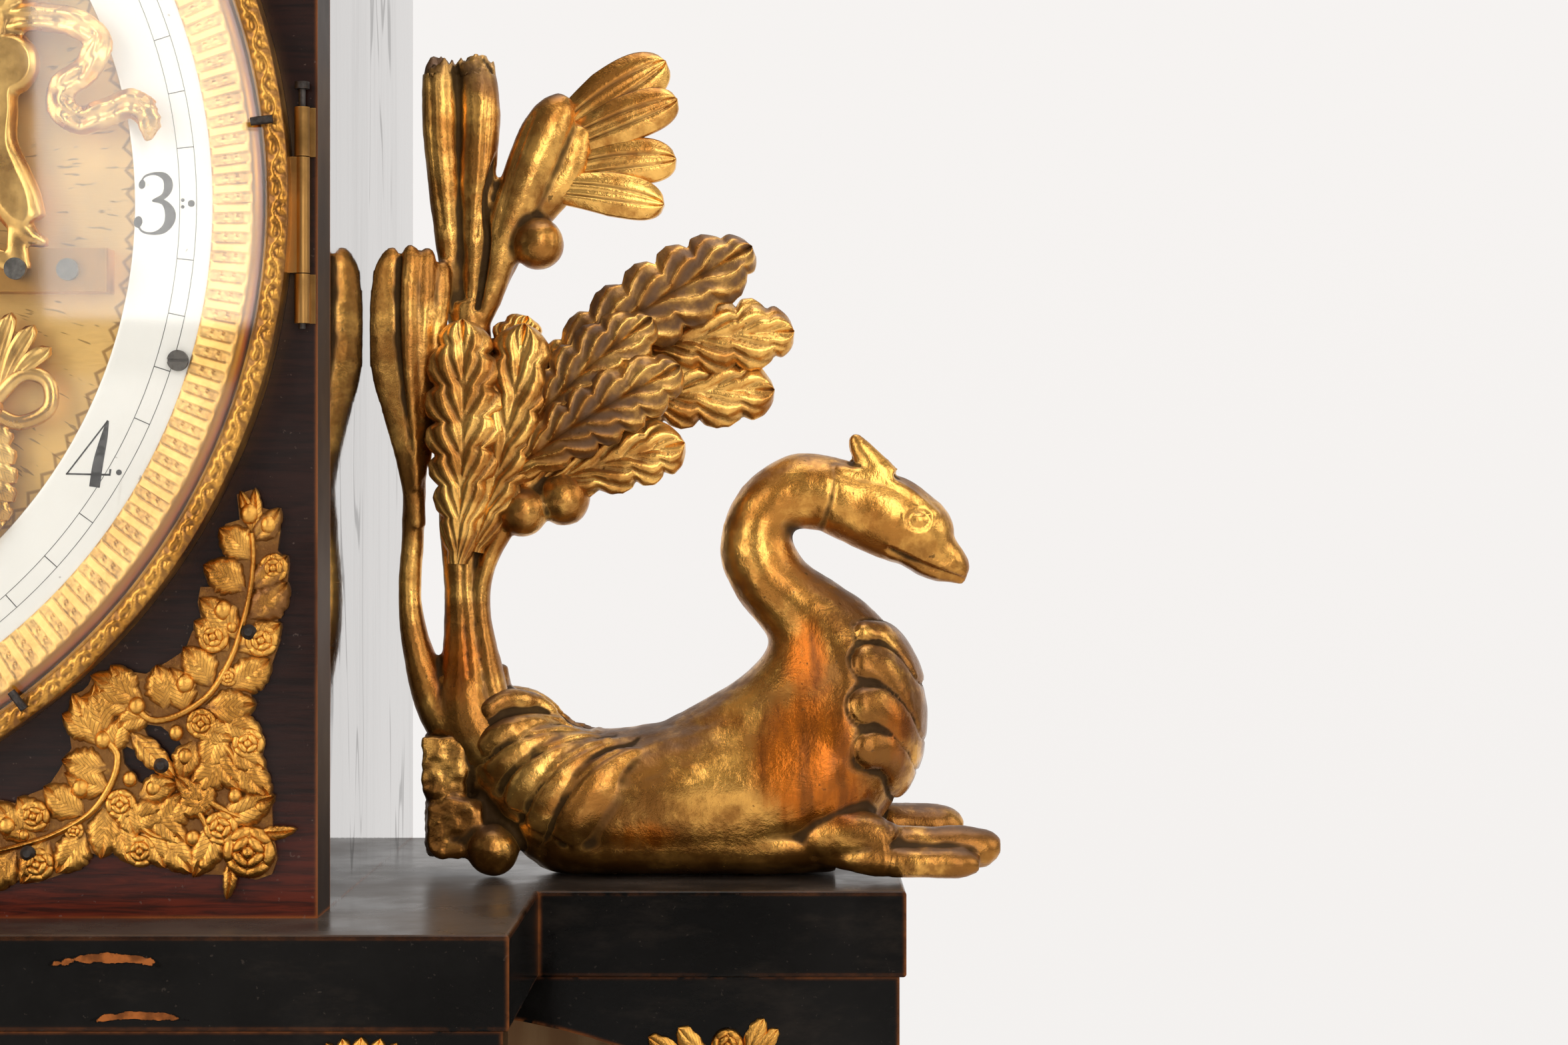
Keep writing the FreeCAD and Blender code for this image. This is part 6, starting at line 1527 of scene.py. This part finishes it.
class CLOCK_OT_mounts(bpy.types.Operator):
    """Stamps the four corner mounts of roses and leaves"""
    bl_idname = "clock.mounts"
    bl_label = "Corner mounts"

    def execute(self, context):
        bm = bmesh.new()
        edge = MOUNT_EDGE + [(b, a) for a, b in reversed(MOUNT_EDGE[:-1])]
        edge += [(b, a) for a, b in MOUNT_INNER] + list(reversed(MOUNT_INNER))
        gaps = MOUNT_GAPS + [[(b, a) for a, b in gap] for gap in MOUNT_GAPS]
        plate(bm, corner_at, [edge, *gaps], MOUNT_GROUND)
        for place in (corner_at, other_arm):
            for points in MOUNT_STEMS:
                stem(bm, place, points, 0.55, 1.1)
            for a0, b0, a1, b1, half in MOUNT_LEAVES:
                row = (a0, b0, a1 + 0.06 * (a1 - a0), b1 + 0.06 * (b1 - b0), half * 1.2, -0.85, 5, 0.3, 0.8)
                leaf(bm, place, row, *STAMPED)
            for a, b, radius in MOUNT_ROSES:
                rose(bm, place, a, b, radius, 0.8)
            for a, b, radius in MOUNT_BUDS:
                orb(bm, place(a, b, -1.1), radius, (0.9, 0.8, 1.0), detail=12)
        leaf(bm, corner_at, (26.6, 26.6, 20.0, 20.0, 1.9, -0.85, 4, 0.0, 0.9), *STAMPED)
        leaf(bm, corner_at, (14.6, 14.6, 20.2, 20.6, 2.0, -0.85, 4, 0.0, 0.9), *STAMPED)
        rose(bm, corner_at, 9.6, 9.6, 3.9, 0.6)
        rose(bm, corner_at, 13.6, 13.0, 2.6, 0.8)
        add_mirror(bm)
        above = bm.copy()
        bmesh.ops.scale(above, vec=(1, 1, -1), space=Matrix.Translation((0, 0, -dial_z)), verts=above.verts)
        gilding = gilt_metal("corner_mount_gilding", sizes("clock_colours").mount, 0.85, 0.31, 0.5)
        for name, half, nodes in (("corner_mounts_low", bm, ["spandrel_mounts"]),
                                  ("corner_mounts_high", above, [])):
            piece = finish_piece(name, half, gilding, "case", nodes, MOUNT_SHARP)
            relief_marks(piece.data, face_y - MOUNT_GROUND, 0.7, 0.13)
        self.lower()
        return {"FINISHED"}

    def lower(self):
        """Sprays on the wings and heads of the pilasters."""
        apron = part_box("portal_apron")[0].y / MM
        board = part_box("portal_front")[0].y / MM
        bm = bmesh.new()

        def wing_at(x, z, depth):
            return Vector((x, apron + depth, z))

        def front_at(x, z, depth):
            return Vector((x, board + depth, z))

        rose(bm, wing_at, 153.0, 189.6, 2.5, 0.5)
        for row in SPRAY_LEAVES:
            leaf(bm, wing_at, (*row, -0.5, 4, 0.3, 0.6), *SPRAY)
        for x, z, radius in SPRAY_BUDS:
            orb(bm, wing_at(x, z, -0.9), radius, (1.0, 0.7, 1.0), detail=12)
        for offset, height, half in PALM:
            foot, tip = PILASTER_X + offset * 0.3, PILASTER_X + offset
            leaf(bm, front_at, (foot, 188.0, tip, height, half, -0.4, 3, 0.2, 0.7), *SPRAY)
        rose(bm, front_at, PILASTER_X, 186.5, 2.8, 0.4)
        for offset in (-3.4, 0.0, 3.4):
            foot, tip = PILASTER_X + offset * 0.3, PILASTER_X + offset
            leaf(bm, front_at, (foot, 185.0, tip, 173.0, 1.8, -0.4, 4, 0.2, 0.6), *SPRAY)
        add_mirror(bm)
        gilding = bpy.data.materials["corner_mount_gilding"]
        finish_piece("portal_mounts_stamped", bm, gilding, "case", ["portal_mounts"],
                     MOUNT_SHARP)


# Middle of the dial: x from its axis, z from its axis
def dial_at(x, z, depth):
    return Vector((x, face_y + depth, dial_z + z))


FIGURE_RUNS = [
    ([(47.6, 18, 5, 3.2), (48.4, 13, 4.4, 3.1), (49.2, 8, 3.6, 2.6), (50.8, 4, 3.7, 2.4),
      (52.6, 0, 3.7, 2.3), (54.2, -3.2, 2.9, 1.9)],
     -2.2),
    ([(53.4, -3.8, 1.8, 1.5), (55, -5.2, 1.3, 1.4), (57, -5.9, 0.7, 1)], -2.4),
    ([(46.6, 18, 4.8, 3), (44.8, 12, 4.2, 2.9), (43.2, 6, 2.9, 2.4), (42.6, 1, 2.8, 2.2),
      (42.2, -3.2, 1.9, 1.6)],
     -2),
    ([(42.2, -3.8, 1.6, 1.4), (40.2, -5, 1.2, 1.3), (38.6, -5.6, 0.7, 0.9)], -2.2),
    ([(47.4, 15, 5.6, 3.2), (47.2, 19, 5.4, 3.1), (46.8, 23, 4.6, 3), (46.6, 27, 5.2, 2.9),
      (46.6, 30, 3.8, 2.4), (46.8, 33.4, 1.9, 1.8)],
     -2.2),
    ([(43, 28, 1.9, 1.8), (39.4, 24.6, 1.6, 1.6), (37, 22.6, 1.5, 1.5), (35, 25.6, 1.3, 1.3),
      (33.6, 28.4, 1.1, 1.1)],
     -2.4),
    ([(50.4, 28, 2, 1.9), (53.2, 31, 1.7, 1.6), (54.8, 33, 1.5, 1.5), (53.8, 36.4, 1.3, 1.3),
      (52.6, 39, 1.1, 1.1)],
     -2.4),
]
SCARF = [
    (43, 24.6), (50, 25.6), (56, 26.2), (61, 25.4), (64.2, 22.6), (62.6, 19), (59.4, 16.4),
    (58.8, 13.6), (61.6, 11.6), (65.2, 12.6), (68.8, 14), (71.4, 12.6),
]


# Rounded parts of a figure: x, z, depth, radius and stretch of the hip, head, hair, nose, eyes and mouth
FIGURE_ORBS = [
    (51.6, 19.6, -2.4, 4.4, (1, 0.6, 1.05)), (46.9, 37, -2.4, 3.6, (0.86, 0.72, 1.1)),
    (46.9, 38.6, -2, 3.7, (0.95, 0.74, 0.8)), (46.9, 36.4, -4.7, 0.55, (0.8, 0.7, 1.6)),
    (45.65, 37.5, -4.5, 0.5, (1.2, 0.5, 0.5)), (48.15, 37.5, -4.5, 0.5, (1.2, 0.5, 0.5)),
    (46.9, 34.6, -4.3, 0.6, (1.4, 0.5, 0.4)),
]
# Size of the smallest form on a figure
FIGURE_GRAIN = 0.36
# Leaves of a bow: base and tip, half width
BOW_LEAVES = [
    (49, -27, 51.4, -15.6, 1.3), (49.6, -27.4, 54.6, -17.4, 1.3), (47.6, -27, 47, -15.4, 1.3),
    (46.6, -27.4, 42.6, -17.2, 1.3), (50.6, -26.4, 57, -20.6, 1.2),
]
# Loop of a bow's ribbon: offset from its knot, and height
BOW_X = 48.4
BOW_LOOP = [(0, -29), (4.4, -24.6), (8.2, -25.4), (8.4, -29.4), (4.2, -31.4), (0, -29.6)]
# Reach of the garland's swag from the middle, and the steps along it
SWAG_REACH, SWAG_STEPS = 46.0, 24


class CLOCK_OT_figures(bpy.types.Operator):
    """Models the two rocking figures with their scarves, and the garland between bows"""
    bl_idname = "clock.figures"
    bl_label = "Figures and garland"

    def execute(self, context):
        bm = bmesh.new()
        for rows, depth in FIGURE_RUNS:
            run = curve_through(rows, 4)
            sweep(bm, [(*dial_at(x, z, depth), max(wide, 0.3), max(deep, 0.3))
                       for x, z, wide, deep in run], 14)
        for x, z, depth, radius, stretch in FIGURE_ORBS:
            orb(bm, dial_at(x, z, depth), radius, stretch)
        run = curve_through(SCARF, 5)
        for shift, half, deep in ((0.0, 2.2, 0.8), (0.9, 0.7, 1.3), (-1.1, 0.7, 1.2)):
            sweep(bm, [(*dial_at(x, z + shift, -2.6 - 0.5 * math.sin(i * 0.9)), half, deep)
                       for i, (x, z) in enumerate(run)], 12)
        for turn in range(6):
            x, z = 70.6 + 0.9 * math.cos(turn), 11.8 + 1.2 * math.sin(turn * 1.4)
            sweep(bm, [(*dial_at(70.4, 13.2, -2.4), 0.8, 0.8), (*dial_at(x + 1.0, z, -2.6), 0.9, 0.8),
                       (*dial_at(x + 0.6 + 0.3 * turn, z - 2.2, -2.4), 0.4, 0.4)], 8)
        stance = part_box("figure_right")[0].y / MM
        behind = stance - face_y + 1.0
        for foot, x, z, top in ((2.0, 52.6, -3.0, 1.2), (1.4, 43.0, -3.6, 1.0)):
            sweep(bm, [(*dial_at(53.0, -9.7, behind), foot, 0.5), (*dial_at(x, z, behind), top, 0.5)], 12)
        mesh, spots, normals = carved("figure", bm, FIGURE_GRAIN, 2, 0.05)
        spots[:, 1] = np.clip(spots[:, 1], stance + 0.02, face_y - 0.4)
        # Hollows of the figures are marked for painted shade.
        keep_value(mesh, "hollow", hollows(mesh, spots, normals, 10))
        put_back(mesh, spots)
        gilding = gilt_metal("figure_gilding", sizes("clock_colours").ring, 0.6, 0.3)
        finish_pair("figure_{}_cast", mesh, gilding, "figure_{}", ["figure_{}"])
        self.garland(gilding)
        return {"FINISHED"}

    def garland(self, gilding):
        bm = bmesh.new()
        for side in (-1, 1):
            def knot_at(x, z, depth, side=side):
                return dial_at(side * x, z, depth)

            for row in BOW_LEAVES:
                leaf(bm, knot_at, (*row, -0.6, 0, 0.4, 1.0), *RIBBON)
            for lean in (1, -1):
                run = curve_through([(BOW_X + lean * offset, z) for offset, z in BOW_LOOP], 5)
                sweep(bm, [(*knot_at(x, z, -1.0), 1.1, 0.7) for x, z in run], 8)
            orb(bm, knot_at(BOW_X, -29.4, -1.2), 2.0, (1.0, 0.7, 1.0))
            for drop in range(7):
                for lean in (-1, 1):
                    z = -31.0 - drop * 2.7
                    reach = 2.8 + 0.9 * math.sin(drop * 0.8)
                    row = (48.2, z, 48.2 + lean * reach, z - 3.6, 1.5, -0.6, 3, 0.2, 0.8)
                    leaf(bm, knot_at, row, *GARLAND)
            orb(bm, knot_at(48.2, -50.4, -0.6), 1.8, (1.0, 0.6, 1.3))
        for step in range(SWAG_STEPS + 1):
            x = -SWAG_REACH + step * 2 * SWAG_REACH / SWAG_STEPS
            z = -52.0 + 20.5 * (x / SWAG_REACH) ** 2
            for lean in (-1, 1):
                leaf(bm, dial_at, (x, z, x + 3.0, z + lean * 3.2, 1.4, -0.4, 3, 0.2, 0.7), *GARLAND)
            orb(bm, dial_at(x, z, -0.8), 1.1, (1, 0.8, 1), detail=10)
        limit = mm(sizes("clock_dial").enamel_inner) - 0.6
        for vert in bm.verts:
            reach = math.hypot(vert.co.x, vert.co.z - dial_z)
            if reach > limit:
                share = limit / reach
                vert.co.x *= share
                vert.co.z = dial_z + (vert.co.z - dial_z) * share
        piece = finish_piece("garland_cast", bm, gilding, "case", ["centre_garland"],
                             MOUNT_SHARP)
        relief_marks(piece.data, face_y + 1.0, 1.2, 0.10)


# Lamps: name, place, aim, width, height, power
LAMPS = [
    ("key_softbox", (0.715, -1.40, 0.775), (0.07, -0.05, 0.30), 0.55, 1.30, 9.5),
    ("fill_softbox", (-1.35, -1.15, 0.85), (0.10, 0.0, 0.30), 1.4, 1.7, 24.0),
    ("right_softbox", (1.45, -0.45, 0.80), (0.15, 0.0, 0.25), 0.8, 1.0, 6.0),
    ("top_softbox", (0.25, -0.05, 1.35), (0.12, 0.0, 0.25), 0.9, 0.7, 7.0),
]
LAMP_COLOUR = (1.0, 0.975, 0.94)
AIR_COLOUR = (1.0, 0.96, 0.92, 1.0)
# Strength of the air as light, and as it is seen
AIR_LIGHT, AIR_SEEN = 0.26, 0.92
CAMERA_PLACE = (0.1617, -0.483, 0.2699)
SENSOR_WIDTH, LENS_LENGTH = 36.0, 70.0
# Half sizes of the floor and the paper, and how far back the paper stands
FLOOR_HALF, PAPER_HALF, PAPER_Y = 2.5, 2.2, 0.85


class CLOCK_OT_stage(bpy.types.Operator):
    """Sets the paper, lamps and camera"""
    bl_idname = "clock.stage"
    bl_label = "Stage"

    def execute(self, context):
        scene = context.scene
        made = [self.floor(), self.paper()]
        made += [self.lamp(*row) for row in LAMPS]
        lens = bpy.data.cameras.new("photo_camera")
        lens.sensor_width = SENSOR_WIDTH
        lens.lens = LENS_LENGTH
        lens.clip_start = 0.01
        eye = self.place("photo_camera", lens)
        eye.location = CAMERA_PLACE
        eye.rotation_euler = (math.radians(90), 0, 0)
        scene.camera = eye
        made.append(eye)
        world = bpy.data.worlds.new("studio_air")
        world.use_nodes = True
        tree = world.node_tree
        sky = tree.nodes["Background"]
        sky.inputs["Color"].default_value = AIR_COLOUR
        seen = tree.nodes.new("ShaderNodeLightPath").outputs["Is Camera Ray"]
        level = tree.nodes.new("ShaderNodeMapRange")
        level.inputs["To Min"].default_value = AIR_LIGHT
        level.inputs["To Max"].default_value = AIR_SEEN
        tree.links.new(seen, level.inputs["Value"])
        tree.links.new(level.outputs["Result"], sky.inputs["Strength"])
        scene.world = world
        scene.view_settings.view_transform = "Standard"
        return {"FINISHED"}

    def place(self, name, data):
        thing = bpy.data.objects.new(name, data)
        bpy.context.scene.collection.objects.link(thing)
        return thing

    def sheet(self, name, half, turn, material):
        bm = bmesh.new()
        bmesh.ops.create_grid(bm, x_segments=1, y_segments=1, size=half, matrix=turn)
        mesh = to_mesh(bm, name)
        mesh.materials.append(material)
        return self.place(name, mesh)

    def floor(self):
        g = Graph("pale_paper")
        cloud = g.noise(3.0, 3.0)
        tone = g.blend(g.span(cloud, 0.3, 0.7), (0.80, 0.79, 0.78), (0.76, 0.75, 0.74))
        material = g.surface(Base_Color=tone, Roughness=0.6)
        return self.sheet("pale_floor", FLOOR_HALF, Matrix.Identity(4), material)

    def paper(self):
        """Glowing white sheet that is clear from behind."""
        g = Graph("lit_paper")
        cloud = g.noise(0.9, 2.0)
        height = g.span(g.axes()[2], 0.05, 0.5)
        tone = g.blend(height, sizes("clock_colours").backdrop, (0.925, 0.915, 0.90))
        tone = g.blend(g.span(cloud, 0.35, 0.7, 0.0, 0.4), tone, (0.915, 0.87, 0.85))
        glow = g.add("ShaderNodeEmission", {"Color": tone, "Strength": 1.0}).outputs[0]
        clear = g.add("ShaderNodeBsdfTransparent").outputs[0]
        behind = g.add("ShaderNodeNewGeometry").outputs["Backfacing"]
        material = g.show(g.add("ShaderNodeMixShader", {0: behind, 1: glow, 2: clear}).outputs[0])
        turn = Matrix.Translation((0, PAPER_Y, 0)) @ Matrix.Rotation(math.radians(90), 4, "X")
        return self.sheet("white_paper", PAPER_HALF, turn, material)

    def lamp(self, name, place, aim, wide, tall, power):
        light = bpy.data.lights.new(name, "AREA")
        light.shape = "RECTANGLE"
        light.size = wide
        light.size_y = tall
        light.energy = power
        light.color = LAMP_COLOUR
        lamp = self.place(name, light)
        lamp.location = place
        lamp.rotation_euler = (Vector(aim) - Vector(place)).to_track_quat("-Z", "Y").to_euler()
        return lamp


class CLOCK_PT_panel(bpy.types.Panel):
    bl_idname = "CLOCK_PT_panel"
    bl_label = "Portal Clock"
    bl_space_type = "VIEW_3D"
    bl_region_type = "UI"
    bl_category = "Portal Clock"

    def draw(self, context):
        for group in GROUPS:
            box = self.layout.box()
            for key in GROUPS[group].__annotations__:
                box.prop(getattr(context.scene, group), key)
        for operator in OPERATORS:
            self.layout.operator(operator.bl_idname)


GROUPS = {"clock_dial": DialSizes, "clock_bezel": BezelSizes, "clock_beast": BeastSizes,
          "clock_colours": ClockColours}
OPERATORS = (CLOCK_OT_woodwork, CLOCK_OT_dial, CLOCK_OT_bezel, CLOCK_OT_fittings, CLOCK_OT_beasts,
             CLOCK_OT_foliage, CLOCK_OT_mounts, CLOCK_OT_figures, CLOCK_OT_stage)


def register():
    for group, kind in GROUPS.items():
        bpy.utils.register_class(kind)
        setattr(bpy.types.Scene, group, bpy.props.PointerProperty(type=kind))
    for kind in (*OPERATORS, CLOCK_PT_panel):
        bpy.utils.register_class(kind)


def unregister():
    for kind in (CLOCK_PT_panel, *reversed(OPERATORS)):
        bpy.utils.unregister_class(kind)
    for group, kind in GROUPS.items():
        delattr(bpy.types.Scene, group)
        bpy.utils.unregister_class(kind)


def main():
    register()
    for operator in OPERATORS:
        getattr(bpy.ops.clock, operator.bl_idname.split(".")[1])()


if __name__ == "__main__":
    main()
